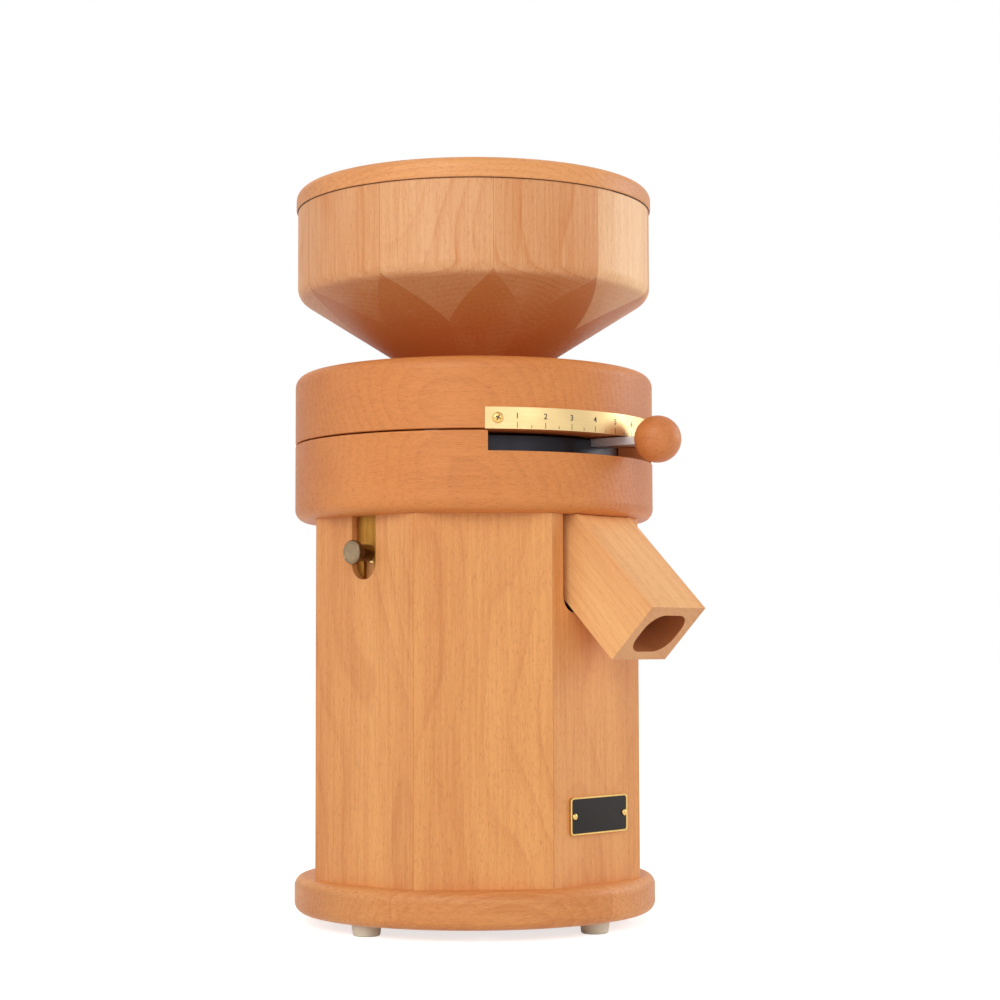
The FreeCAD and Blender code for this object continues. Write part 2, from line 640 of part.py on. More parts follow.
def make_chamber(bowl_holes, screw_holes):
    """The grinding chamber: a cast bowl with a flat boss that the spout butts against."""
    bowl = turned("bowl_blank", [
        ("Size.shaft_radius + 1", "At.deck_top"),
        ("At.bowl_radius", "At.deck_top"),
        ("At.bowl_radius", "At.bowl_top"),
        ("At.bowl_inside", "At.bowl_top"),
        ("At.bowl_inside", "At.bowl_floor_top", 2),
        ("Size.shaft_radius + 1", "At.bowl_floor_top"),
    ])
    boss_depth = "At.spout_inner - At.bowl_inside + 8"
    boss_block = box("boss_block", ("Size.spout_width + 2", boss_depth, "At.bowl_top - At.deck_top - 1"),
                     ("-Size.spout_width / 2 - 1", "-At.spout_inner", "At.deck_top + 1"))
    hollow = cylinder("bowl_hollow", "At.bowl_inside", "At.bowl_top", (0, 0, "At.bowl_floor_top"))
    floor_core = cylinder("bowl_floor_core", "At.bowl_inside - 2", "At.bowl_top", (0, 0, "At.deck_top"))
    boss = cut("boss", boss_block, hollow, floor_core)
    channel = prism("bowl_channel", [
        rectangle("At.bore_width / 2", "At.channel_middle - Size.channel_height / 2",
                  "At.channel_middle + Size.channel_height / 2", "Size.spout_bore_corner - 1"),
    ], "XZ_Plane", "At.bowl_inside - 12", "At.spout_inner - At.bowl_inside + 13")
    keep("chamber_bowl", cut("chamber_bowl", fuse("bowl_and_boss", bowl, boss), channel,
                             bowl_holes, screw_holes))
    screw = flat_screw("bowl_screw", *BOWL_SCREW, (0, -BOWL_SCREW_CIRCLE, "At.bowl_floor_top"), UPSIDE_DOWN)
    keep("chamber_screws", around("bowl_screw_group", screw, DIAGONALS))
    keep("chamber_seal", turned("seal", [
        ("At.bowl_inside", "At.bowl_top"),
        ("At.bowl_radius", "At.bowl_top"),
        ("At.bowl_radius", "At.body_top"),
        ("At.bowl_inside", "At.body_top"),
    ]))


def make_spout(screw_holes):
    block = prism("spout_block", [[
        ("At.spout_inner", "At.spout_top"),
        ("At.spout_line - At.spout_top", "At.spout_top"),
        ("At.spout_reach", "At.spout_line - At.spout_reach"),
        ("At.spout_reach - Size.spout_thickness * cos(45)",
         "At.spout_line - At.spout_reach - Size.spout_thickness * sin(45)"),
        ("At.spout_inner", "At.spout_underline - At.spout_inner"),
    ]], "YZ_Plane", "-Size.spout_width / 2", "Size.spout_width", turn=Rotation(Vector(0, 0, 1), 180))
    channel = prism("spout_channel", [
        rectangle("At.bore_width / 2", "At.channel_middle - Size.channel_height / 2",
                  "At.channel_middle + Size.channel_height / 2", "Size.spout_bore_corner - 1"),
    ], "XZ_Plane", "At.spout_inner - 1", "At.bore_line - At.channel_middle - At.spout_inner + 1")
    slope_length = "1.5 * At.spout_reach"
    bore = prism("spout_bore", [
        rectangle("At.bore_width / 2", "-Size.spout_bore_height / 2", "Size.spout_bore_height / 2",
                  "Size.spout_bore_corner"),
    ], "XY_Plane", 0, slope_length,
        at=(0, "At.channel_middle - At.bore_line + 6", "At.channel_middle + 6"),
        turn=Rotation(Vector(1, 0, 0), 135))
    keep("spout", cut("spout", block, channel, bore, screw_holes))
    screw = flat_screw("spout_screw", *SPOUT_SCREW, SPOUT_SCREW_PLACE, FRONT)
    keep("spout_screws", both_sides("spout_screw_pair", screw))


def make_motor():
    shield_outline = [
        ("At.shaft_bore + 1", 0),
        ("Size.shield_radius", 0, 2),
        ("Size.shield_radius", "Size.shield_height"),
        ("Size.coil_radius + 1", "Size.shield_height"),
        ("Size.coil_radius + 1", 4),
        ("Size.bearing_radius + 3", 4),
        ("Size.bearing_radius + 3", "Size.bearing_height + 2"),
        ("Size.bearing_radius + Size.screw_gap", "Size.bearing_height + 2"),
        ("Size.bearing_radius + Size.screw_gap", 2),
        ("At.shaft_bore + 1", 2),
    ]
    bolt_hole = cylinder("bolt_hole", "Size.motor_screw_radius + Size.screw_gap",
                         "At.deck_bottom - At.shield_bottom - 2",
                         (0, -TIE_BOLT_CIRCLE, "At.shield_bottom - 1"))
    bolt_holes = around("bolt_holes", bolt_hole, DIAGONALS)
    fixing_hole = cylinder("fixing_hole", "Size.motor_screw_radius + Size.screw_gap", 11,
                           (0, -MOTOR_SCREW_CIRCLE, "At.deck_bottom - 9"))
    upper = turned("upper_shield_blank", shield_outline, (0, 0, "At.deck_bottom"), UPSIDE_DOWN)
    lower = turned("lower_shield_blank", shield_outline, (0, 0, "At.shield_bottom"))
    keep("motor_top_shield", cut("upper_shield", upper, bolt_holes,
                                 around("fixing_holes", fixing_hole, QUARTERS)))
    keep("motor_bottom_shield", cut("lower_shield", lower, bolt_holes))
    core = turned("core_blank", [
        ("At.stator_bore", "At.stator_bottom"),
        ("Size.motor_radius", "At.stator_bottom"),
        ("Size.motor_radius", "At.stator_top"),
        ("At.stator_bore", "At.stator_top"),
    ])
    keep("stator_core", cut("stator_core", core, bolt_holes))
    heads = []
    for name, level in (("lower_coil", "At.stator_bottom - Size.coil_height"), ("upper_coil", "At.stator_top")):
        heads.append(turned(name, [
            ("At.stator_bore + 3", 0, 2),
            ("Size.coil_radius", 0, 2),
            ("Size.coil_radius", "Size.coil_height", 2),
            ("At.stator_bore + 3", "Size.coil_height", 2),
        ], (0, 0, level)))
    keep("stator_windings", together("windings", *heads))
    bolt = turned("tie_bolt", [
        (0, "At.shield_bottom - 3"),
        (4.2, "At.shield_bottom - 3"),
        (4.2, "At.shield_bottom"),
        ("Size.motor_screw_radius", "At.shield_bottom"),
        ("Size.motor_screw_radius", "At.deck_bottom - 4"),
        (0, "At.deck_bottom - 4"),
    ], (0, -TIE_BOLT_CIRCLE, 0))
    keep("motor_tie_bolts", around("tie_bolt_group", bolt, DIAGONALS))
    bearing_outline = [
        ("At.shaft_bore", 0, 0.5),
        ("Size.bearing_radius", 0, 0.5),
        ("Size.bearing_radius", "Size.bearing_height", 0.5),
        ("At.shaft_bore", "Size.bearing_height", 0.5),
    ]
    keep("upper_bearing", turned("bearing_above", bearing_outline, (0, 0, "At.deck_bottom - 2"), UPSIDE_DOWN))
    keep("lower_bearing", turned("bearing_below", bearing_outline, (0, 0, "At.shield_bottom + 2")))


def make_rotor():
    """Everything on the motor shaft: fan, rotor, sweeper, lower stone and its nut."""
    keep("motor_shaft", turned("shaft", [
        (0, "At.shaft_bottom"),
        ("Size.shaft_radius", "At.shaft_bottom", 1),
        ("Size.shaft_radius", "At.stone_recess_floor"),
        ("Size.thread_radius", "At.stone_recess_floor"),
        ("Size.thread_radius", "At.lower_stone_top", 0.8),
        (0, "At.lower_stone_top"),
    ]))
    keep("rotor_core", turned("rotor", [
        ("At.shaft_bore", "At.stator_bottom - 2"),
        ("Size.rotor_radius - 3", "At.stator_bottom - 2"),
        ("Size.rotor_radius - 3", "At.stator_bottom"),
        ("Size.rotor_radius", "At.stator_bottom"),
        ("Size.rotor_radius", "At.stator_top"),
        ("Size.rotor_radius - 3", "At.stator_top"),
        ("Size.rotor_radius - 3", "At.stator_top + 2"),
        ("At.shaft_bore", "At.stator_top + 2"),
    ]))
    fan_disc = turned("fan_disc", [
        ("At.shaft_bore", "At.shaft_bottom + 2"),
        ("Size.fan_radius", "At.shaft_bottom + 2"),
        ("Size.fan_radius", "At.shaft_bottom + 4"),
        (12, "At.shaft_bottom + 4"),
        (12, "At.shaft_bottom + 4 + Size.fan_blade"),
        ("At.shaft_bore", "At.shaft_bottom + 4 + Size.fan_blade"),
    ])
    blade = box("fan_blade", (2, "Size.fan_radius - 12", "Size.fan_blade + 1"),
                (-1, "0.5 - Size.fan_radius", "At.shaft_bottom + 3"))
    keep("cooling_fan", fuse("fan", fan_disc, around("fan_blades", blade, range(0, 360, 45))))
    hub_disc = turned("hub_disc", [
        ("At.shaft_bore", "At.bowl_floor_top + 1.5"),
        ("Size.stone_bore - 0.2", "At.bowl_floor_top + 1.5"),
        ("Size.stone_bore - 0.2", "At.lower_stone_bottom - 4"),
        ("Size.stone_radius - 1", "At.lower_stone_bottom - 4", 0.8),
        ("Size.stone_radius - 1", "At.lower_stone_bottom"),
        ("Size.stone_bore - 0.2", "At.lower_stone_bottom"),
        ("Size.stone_bore - 0.2", "At.stone_recess_floor"),
        ("At.shaft_bore", "At.stone_recess_floor"),
    ])
    arm = box("sweeper_arm", (3, "At.bowl_inside - Size.stone_radius + 4",
                              "At.lower_stone_bottom - At.bowl_floor_top - 0.8"),
              (-1.5, "2 - At.bowl_inside", "At.bowl_floor_top + 0.8"))
    blade_up = box("sweeper_tip", (3, "At.bowl_inside - Size.stone_radius - 3.5", 8),
                   (-1.5, "2 - At.bowl_inside", "At.lower_stone_bottom - 1"))
    arms = around("sweeper_arms", fuse("sweeper_paddle", arm, blade_up), (30, 150, 270))
    keep("sweeper_hub", fuse("sweeper", hub_disc, arms))
    keep("lower_stone", turned("running_stone", [
        ("Size.stone_bore", "At.lower_stone_bottom"),
        ("Size.stone_radius", "At.lower_stone_bottom", 0.8),
        ("Size.stone_radius", "At.lower_stone_top"),
        ("Size.stone_throat", "At.lower_stone_top"),
        ("Size.stone_throat", "At.stone_recess_floor"),
        ("Size.stone_bore", "At.stone_recess_floor"),
    ]))
    flange = cylinder("nut_flange", "Size.stone_throat - 1", 2, (0, 0, "At.stone_recess_floor"))
    hexagon = doc.addObject("Part::Prism", "nut_hexagon")
    hexagon.Polygon = 6
    hexagon.Circumradius = 7.5
    hexagon.Height = 6.5
    place(hexagon, (0, 0, "At.stone_recess_floor"))
    hole = cylinder("nut_hole", "Size.thread_radius + Size.running_gap", 10, (0, 0, "At.stone_recess_floor - 1"))
    keep("hub_nut", cut("nut", fuse("nut_blank", flange, hexagon), hole))


RING_SCREW = (1.7, 3.5, 2.4, 58)
RING_SCREW_ANGLES = (62, -62, 150, -150)
GUIDE_ANGLES = (60, 180, 300)
STRAP_SCREW = (1.5, 2.8, 1.6, 7.5)
SCALE_SCREW_ANGLES = ("Size.scale_screw_angle", "-Size.scale_screw_angle")


def make_straps():
    """Two angled brass straps with a fork that lifts clear of the lock screws."""
    plate = box("strap_plate", ("2 * At.strap_half", "Size.strap_thickness", "At.body_top + 2 - At.slot_centre"),
                ("-At.strap_half", "-At.strap_face", "At.slot_centre"))
    tip = cylinder("strap_tip", "At.strap_half", "Size.strap_thickness", (0, "-At.strap_back", "At.slot_centre"),
                   FRONT)
    leg = box("strap_leg", ("2 * At.strap_half", "Size.strap_leg", 2),
              ("-At.strap_half", "-At.strap_face", "At.body_top"))
    eye = cylinder("strap_eye", "Size.lock_stud_radius + Size.fit_gap", 6,
                   (0, "2 - At.strap_back", "At.lock_level"), FRONT)
    fork = box("strap_fork", ("2 * (Size.lock_stud_radius + Size.fit_gap)", 6, "Size.lock_slot_depth"),
               ("-Size.lock_stud_radius - Size.fit_gap", "-At.strap_face - 2",
                "At.lock_level - Size.lock_slot_depth"))
    screw_place = (4, "Size.strap_leg / 2 - At.strap_face + 1.5", "At.body_top")
    hole = flat_screw_hole("strap_screw_hole", *STRAP_SCREW, screw_place, UPRIGHT)
    holes = both_sides("strap_screw_holes", hole)
    strap = cut("strap", fuse("strap_blank", plate, tip, leg), fuse("strap_way", eye, fork), holes)
    keep("lock_straps", around("strap_pair", strap, SIDES))
    screw = flat_screw("strap_screw", *STRAP_SCREW, screw_place, UPRIGHT)
    keep("strap_screws", around("strap_screw_group", both_sides("strap_screw_pair", screw), SIDES))
    recess = box("strap_recess", ("2 * At.strap_half + 0.2", "Size.strap_leg + 0.2", 3),
                 ("-At.strap_half - 0.1", "-At.strap_face - 0.1", "At.body_top - 1"))
    pilot = cylinder("strap_pilot_hole", STRAP_SCREW[0] + 0.1, 9.5,
                     (screw_place[0], screw_place[1], "At.body_top"))
    pilots = around("strap_pilot_holes", both_sides("strap_pilot_pair", pilot), SIDES)
    return around("strap_recesses", recess, SIDES), pilots


def make_rings(strap_recesses, strap_holes):
    ring_screw_place = (0, "-At.ring_radius + Size.lower_ring_wall / 2 + 2.2", "At.body_top")
    ring_hole = flat_screw_hole("ring_screw_hole", *RING_SCREW, ring_screw_place, UPRIGHT)
    ring_holes = around("ring_screw_holes", ring_hole, RING_SCREW_ANGLES)
    screw = flat_screw("ring_screw", *RING_SCREW, ring_screw_place, UPRIGHT)
    keep("ring_screws", around("ring_screw_group", screw, RING_SCREW_ANGLES))
    washer = turned("ring_washer", [
        (RING_SCREW[0] + 0.1, "At.lower_ring_top"),
        (5, "At.lower_ring_top"),
        (5, "At.upper_ring_bottom"),
        (RING_SCREW[0] + 0.1, "At.upper_ring_bottom"),
    ], ring_screw_place[:2] + (0,))
    keep("ring_spacers", around("ring_washer_group", washer, RING_SCREW_ANGLES))

    lower = turned("lower_ring_blank", [
        ("At.ledge_bore", "At.body_top"),
        ("At.ring_radius", "At.body_top", "Size.ring_rounding"),
        ("At.ring_radius", "At.lower_ring_top", "Size.seam_rounding"),
        ("At.lower_ring_bore", "At.lower_ring_top"),
        ("At.lower_ring_bore", "At.ledge_top"),
        ("At.ledge_bore", "At.ledge_top"),
    ])
    slot = cylinder("lever_slot", "At.ring_radius + 2", "Size.slot_height + 1", (0, 0, "At.slot_bottom"),
                    Rotation(Vector(0, 0, 1), -90 - number("Size.slot_half_angle")),
                    "2 * Size.slot_half_angle")
    keep("lower_ring", cut("lower_ring", lower, slot, ring_holes, strap_recesses, strap_holes))

    upper = turned("upper_ring_blank", [
        ("At.neck_bore", "At.upper_ring_top"),
        ("At.ring_radius", "At.upper_ring_top", "Size.ring_rounding"),
        ("At.ring_radius", "At.upper_ring_bottom", "Size.seam_rounding"),
        ("Size.feed_flange + Size.screw_gap", "At.upper_ring_bottom"),
        ("Size.feed_flange + Size.screw_gap", "At.upper_ring_bottom + Size.flange_thickness"),
        ("At.feed_outer + Size.screw_gap", "At.upper_ring_bottom + Size.flange_thickness"),
        ("At.feed_outer + Size.screw_gap", "At.feed_top"),
        ("At.neck_bore", "At.feed_top"),
    ])
    pin_hole = cylinder("guide_pin_hole", "Size.guide_pin_radius + Size.screw_gap", "Size.guide_pin_depth + 1",
                        (0, "-At.guide_circle", "At.upper_ring_bottom - 1"))
    scale_hole = cylinder("scale_screw_hole", 1.3, 10, (0, "-At.ring_radius + 8", "At.scale_middle"), FRONT)
    scale_holes = around("scale_screw_holes", scale_hole, SCALE_SCREW_ANGLES)
    keep("upper_ring", cut("upper_ring", upper, ring_holes, around("guide_pin_holes", pin_hole, GUIDE_ANGLES),
                           scale_holes))
    pin = turned("guide_pin", [
        (0, "At.upper_ring_bottom + Size.guide_pin_depth"),
        ("Size.guide_pin_radius", "At.upper_ring_bottom + Size.guide_pin_depth", 0.6),
        ("Size.guide_pin_radius", "At.upper_ring_bottom + Size.guide_pin_depth - Size.guide_pin_length", 0.6),
        (0, "At.upper_ring_bottom + Size.guide_pin_depth - Size.guide_pin_length"),
    ], (0, "-At.guide_circle", 0))
    keep("guide_pins", around("guide_pin_group", pin, GUIDE_ANGLES))
    keep("feed_tube", turned("feed_sleeve", [
        ("Size.feed_radius", "At.feed_bottom"),
        ("At.feed_outer", "At.feed_bottom"),
        ("At.feed_outer", "At.upper_ring_bottom"),
        ("Size.feed_flange", "At.upper_ring_bottom"),
        ("Size.feed_flange", "At.upper_ring_bottom + Size.flange_thickness"),
        ("At.feed_outer", "At.upper_ring_bottom + Size.flange_thickness"),
        ("At.feed_outer", "At.feed_top"),
        ("Size.feed_radius", "At.feed_top"),
    ]))
    return scale_holes


def make_scale(scale_holes):
    half = number("Size.scale_half_angle")
    sector = cylinder("scale_sector", "At.ring_radius + Size.scale_thickness", "Size.scale_height",
                      (0, 0, "At.scale_bottom"), Rotation(Vector(0, 0, 1), -90 - half),
                      "2 * Size.scale_half_angle")
    inside = cylinder("scale_inside", "At.ring_radius", "Size.scale_height + 2", (0, 0, "At.scale_bottom - 1"))
    keep("scale_plate", cut("scale_plate", sector, inside, scale_holes))
    blank = turned("scale_screw_blank", [
        (0, -7), (1.2, -6), (1.2, 0), (2.7, 0), (2.7, 0.6), (1.6, 1.3), (0, 1.4),
    ], (0, "-At.ring_radius - Size.scale_thickness", "At.scale_middle"), FRONT)
    slot = box("scale_screw_slot", (6, 1, 0.7),
               (-3, "-At.ring_radius - Size.scale_thickness - 1.5", "At.scale_middle - 0.35"))
    keep("scale_screws", around("scale_screw_group", cut("scale_screw", blank, slot), SCALE_SCREW_ANGLES))


LEVER_SCREW = (1.5, 2.7, 1.6, 9)


def make_lever():
    """The adjusting ring with the lever, made at the front and turned to its number."""
    ring = turned("adjuster_blank", [
        ("At.adjuster_bore", "At.ledge_top", 0.8),
        ("At.adjuster_radius", "At.ledge_top", 0.8),
        ("At.adjuster_radius", "At.lower_ring_top", 0.8),
        ("At.adjuster_bore", "At.lower_ring_top", 0.8),
    ])
    notch = box("lever_notch", ("Size.lever_width + 0.2", "Size.adjuster_wall + 3", "Size.lever_thickness + 1"),
                ("-Size.lever_width / 2 - 0.1", "-At.adjuster_radius - 1", "At.lever_bottom"))
    screw_place = (3.2, "-At.adjuster_radius + Size.adjuster_wall / 2", "At.lever_top")
    holes = both_sides("lever_screw_holes",
                       flat_screw_hole("lever_screw_hole", *LEVER_SCREW, screw_place, UPSIDE_DOWN))
    turn_to = ("At.lever_angle",)
    keep("adjusting_ring", around("adjuster_turned", cut("adjuster", ring, notch, holes), turn_to))
    bar_inner = "(At.adjuster_bore + 1)"
    bar_outer = "(At.ball_circle - Size.ball_radius + 2)"
    bar = box("lever_plate", ("Size.lever_width", f"{bar_outer} - {bar_inner}", "Size.lever_thickness"),
              ("-Size.lever_width / 2", f"-{bar_outer}", "At.lever_bottom"))
    pin_start = "(At.ball_circle + 1 - Size.lever_pin_length)"
    pin = cylinder("lever_pin", "Size.lever_pin", "Size.lever_pin_length", (0, f"-{pin_start}", "At.ball_level"),
                   FRONT)
    ball_gap = doc.addObject("Part::Sphere", "ball_clearance")
    tie(ball_gap, "Radius", "Size.ball_radius")
    place(ball_gap, (0, "-At.ball_circle", "At.ball_level"))
    flat_end = cut("lever_end", bar, ball_gap)
    keep("lever_bar", around("lever_turned", cut("lever", fuse("lever_blank", flat_end, pin), holes), turn_to))
    ball = doc.addObject("Part::Sphere", "ball_blank")
    tie(ball, "Radius", "Size.ball_radius")
    place(ball, (0, "-At.ball_circle", "At.ball_level"))
    bore = cylinder("ball_bore", "Size.lever_pin + Size.running_gap", "Size.lever_pin_length + 1",
                    (0, f"-{pin_start}", "At.ball_level"), FRONT)
    keep("lever_ball", around("ball_turned", cut("ball", ball, bore), turn_to))
    screw = flat_screw("lever_screw", *LEVER_SCREW, screw_place, UPSIDE_DOWN)
    keep("lever_screws", around("lever_screws_turned", both_sides("lever_screw_pair", screw), turn_to))


def make_upper_stone():
    hole = "At.feed_outer + 0.4"
    carrier = turned("carrier_blank", [
        (hole, "At.stone_seat"),
        ("At.carrier_inside", "At.stone_seat"),
        ("At.carrier_inside", "At.stone_seat - 10"),
        ("At.carrier_radius", "At.stone_seat - 10", 0.8),
        ("At.carrier_radius", "At.carrier_top", 0.8),
        (hole, "At.carrier_top"),
    ])
    guide = cylinder("carrier_guide", "Size.guide_pin_radius + Size.screw_gap", "Size.carrier_thickness + 14",
                     (0, "-At.guide_circle", "At.stone_seat - 12"))
    keep("stone_carrier", cut("carrier", carrier, around("carrier_guides", guide, GUIDE_ANGLES)))
    keep("upper_stone", turned("fixed_stone", [
        ("Size.stone_throat", "At.stone_seat"),
        ("Size.stone_radius", "At.stone_seat"),
        ("Size.stone_radius", "At.upper_stone_bottom", 0.8),
        ("Size.stone_throat + 9", "At.upper_stone_bottom"),
        ("Size.stone_throat", "At.upper_stone_bottom + 4"),
    ]))


def make_hopper():
    keep("hopper", turned("hopper_turning", [
        ("Size.hopper_bore", "At.upper_ring_top - Size.spigot_length"),
        ("Size.spigot_radius", "At.upper_ring_top - Size.spigot_length", 1),
        ("Size.spigot_radius", "At.upper_ring_top"),
        ("Size.shoulder_radius", "At.upper_ring_top", "Size.seam_rounding"),
        ("Size.shoulder_radius", "At.shoulder_top"),
        ("Size.hopper_radius", "At.cone_top", "Size.hopper_corner"),
        ("Size.hopper_radius", "At.hopper_top", "Size.seam_rounding"),
        ("At.hopper_inside", "At.hopper_top", "Size.seam_rounding"),
        ("At.hopper_inside", "At.bowl_corner", "Size.hopper_corner"),
        ("Size.hopper_bore", "At.throat_top", 3),
    ]))
    keep("lid", turned("lid_turning", [
        (0, "At.hopper_top - Size.lid_rebate"),
        ("At.hopper_inside - 0.5", "At.hopper_top - Size.lid_rebate", 1.5),
        ("At.hopper_inside - 0.5", "At.hopper_top"),
        ("At.lid_radius", "At.hopper_top", "Size.seam_rounding"),
        ("At.lid_radius", "At.lid_top", "Size.lid_rounding"),
        (0, "At.lid_top"),
    ]))


def make_locks():
    """A knurled screw and its threaded insert on each side."""
    stud = cylinder("stud_blank", "Size.lock_stud_radius", "Size.lock_stud_length",
                    (0, "-At.strap_face + Size.lock_stud_length", "At.lock_level"), FRONT)
    head = turned("lock_head_blank", [
        (0, "At.strap_face"),
        ("Size.lock_neck_radius", "At.strap_face"),
        ("Size.lock_neck_radius", "At.neck_end"),
        ("Size.lock_head_radius", "At.neck_end", 0.5),
        ("Size.lock_head_radius", "At.neck_end + Size.lock_head_length", 0.5),
        (0, "At.neck_end + Size.lock_head_length"),
    ], (0, 0, "At.lock_level"), FRONT)
    insert_length = "At.pocket_floor - At.inner_apothem - 1"
    sleeve = cylinder("insert_sleeve", "At.insert_radius", insert_length,
                      (0, "-At.inner_apothem - 1", "At.lock_level"), FRONT)
    way = cylinder("insert_way", "Size.lock_stud_radius + Size.running_gap", "Size.stave_thickness",
                   (0, "-At.inner_apothem + 1", "At.lock_level"), FRONT)
    keep("lock_inserts", around("insert_pair", cut("insert", sleeve, way), SIDES))
    for side, angle in zip(("left", "right"), SIDES):
        keep(f"{side}_lock_stud", around(f"{side}_stud_turned", stud, (angle,)))
        keep(f"{side}_lock_head", around(f"{side}_head_turned", head, (angle,)))


def make_nameplate():
    blank = prism("plate_blank", [
        rectangle("Size.plate_width / 2", "At.plate_middle - Size.plate_height / 2",
                  "At.plate_middle + Size.plate_height / 2", "Size.plate_corner"),
    ], "XZ_Plane", "Size.octagon_apothem", "Size.plate_thickness")
    hole = cylinder("plate_hole", 0.85, 4, ("Size.plate_pin_spacing", "2 - Size.octagon_apothem",
                                            "At.plate_middle"), FRONT)
    keep("nameplate", cut("nameplate", blank, both_sides("plate_holes", hole)))
    pin = turned("plate_pin", [
        (0, -7), (0.8, -6), (0.8, 0), (1.5, 0), (1.4, 0.5), (0.7, 0.9), (0, 1),
    ], ("Size.plate_pin_spacing", "-Size.octagon_apothem - Size.plate_thickness", "At.plate_middle"), FRONT)
    keep("nameplate_pins", both_sides("plate_pin_pair", pin))


def make_switch():
    """The rear rocker switch. Its rocker lies on a pin across the housing."""
    rim = "Size.switch_rim"
    frame = box("switch_frame", (f"Size.switch_width + 2 * {rim}", 2, f"Size.switch_height + 2 * {rim}"),
                (f"-Size.switch_width / 2 - {rim}", "Size.octagon_apothem",
                 f"At.switch_middle - Size.switch_height / 2 - {rim}"))
    body = box("switch_body", ("Size.switch_width - 0.4", "Size.stave_thickness - 1", "Size.switch_height - 0.4"),
               ("-Size.switch_width / 2 + 0.2", "At.inner_apothem + 1",
                "At.switch_middle - Size.switch_height / 2 + 0.2"))
    well = box("switch_well", ("Size.rocker_width + 0.6", 14, "2 * Size.rocker_half + 1.6"),
               ("-Size.rocker_width / 2 - 0.3", "Size.octagon_apothem - 11",
                "At.switch_middle - Size.rocker_half - 0.8"))
    pivot = (0, "Size.octagon_apothem - 1.5", "At.switch_middle")
    pin_way = cylinder("rocker_pin_way", "1.5 + Size.running_gap", "Size.rocker_width + 3.2",
                       ("-Size.rocker_width / 2 - 1.6", pivot[1], pivot[2]), ACROSS)
    keep("switch_housing", cut("switch_housing", fuse("switch_blank", frame, body), well, pin_way))
    half = "Size.rocker_half"
    rocker = prism("rocker_blank", [[
        (3.4, half), (1.6, 0), (3.4, f"-{half}"), (-1, f"-{half} + 0.3"), (-5, -4), (-5, 4),
        (-1, f"{half} - 0.3"),
    ]], "YZ_Plane", "-Size.rocker_width / 2", "Size.rocker_width")
    pin = cylinder("rocker_pin", 1.5, "Size.rocker_width + 2.8", ("-Size.rocker_width / 2 - 1.4", 0, 0), ACROSS)
    solid = fuse("rocker", rocker, pin)
    keep("rocker", place(solid, pivot, Rotation(Vector(1, 0, 0), number("Size.rocker_tilt"))))


def make_gland():
    """The cable gland in the rear stave: a flanged sleeve and the nut behind the wood."""
    at = ("Size.gland_side", "Size.octagon_apothem", "At.gland_level")
    hexagon = doc.addObject("Part::Prism", "gland_hexagon")
    hexagon.Polygon = 6
    tie(hexagon, "Circumradius", "Size.gland_radius + 3.5")
    hexagon.Height = 6
    place(hexagon, at, REAR)
    nose = cylinder("gland_nose", "Size.gland_radius - 1", 11, at, REAR)
    sleeve = cylinder("gland_sleeve", "Size.gland_radius", "Size.stave_thickness + 5",
                      ("Size.gland_side", "At.inner_apothem - 5", "At.gland_level"), REAR)
    nut = cylinder("gland_nut", "Size.gland_radius + 1.5", 4,
                   ("Size.gland_side", "At.inner_apothem - 4", "At.gland_level"), REAR)
    bore = cylinder("gland_way", "Size.gland_bore", "Size.stave_thickness + 18",
                    ("Size.gland_side", "At.inner_apothem - 6", "At.gland_level"), REAR)
    keep("cable_gland", cut("gland", fuse("gland_blank", hexagon, nose, sleeve, nut), bore))


LEAD_RADIUS = 1.2
LEAD_BEND = 4.0


def lead(points):
    """A round lead along straight runs that are joined by tangent arcs."""
    edges = []
    start = points[0]
    for before, corner, after in zip(points, points[1:], points[2:]):
        back = (before - corner).normalize()
        onward = (after - corner).normalize()
        half = back.getAngle(onward) / 2
        reach = LEAD_BEND / math.tan(half)
        first = corner + back * reach
        last = corner + onward * reach
        bisector = (back + onward).normalize()
        middle = corner + bisector * (LEAD_BEND / math.sin(half) - LEAD_BEND)
        edges.append(Part.LineSegment(start, first).toShape())
        edges.append(Part.Arc(first, middle, last).toShape())
        start = last
    edges.append(Part.LineSegment(start, points[-1]).toShape())
    path = Part.Wire(edges)
    direction = (points[1] - points[0]).normalize()
    ring = Part.Wire([Part.makeCircle(LEAD_RADIUS, points[0], direction)])
    return path.makePipeShell([ring], True, False)


def make_electrics():
    """The run capacitor, the terminal block and the leads between them, the switch and the motor."""
    keep("capacitor", turned("capacitor_can", [
        (0, 0), (15, 0, 1.5), (15, 32, 1.5), (4, 32), (4, 35), (0, 35),
    ], (-28, 0, "At.base_top")))
    block = prism("terminal_blank", [rectangle(17, 0, 12, 1)], "XZ_Plane", -6, 12, (0, 36, "At.base_top"))
    wells = [
        cylinder(f"terminal_well_{i}", 2, 5, (x, 36, "At.base_top + 8")) for i, x in enumerate((-11, 0, 11), 1)
    ]
    keep("terminal_block", cut("terminal_block", block, together("terminal_wells", *wells)))
    block_rear = 42
    level = number("At.base_top") + 6
    inside = number("At.inner_apothem")
    switch_level = number("At.switch_middle") - 9
    routes = [
        (Vector(x, inside + 1, switch_level), Vector(x, inside - 4, switch_level),
         Vector(x, inside - 4, level), Vector(x, block_rear, level))
        for x in (2, 8)
    ]
    beside_motor = number("Size.shield_radius") - 0.5
    routes.append((Vector(14, block_rear, level), Vector(14, beside_motor, level),
                   Vector(14, beside_motor, number("At.shield_bottom") + 2)))
    wiring = doc.addObject("Part::Feature", "wiring")
    wiring.Shape = Part.makeCompound([lead(route) for route in routes])
    keep("inner_leads", wiring)


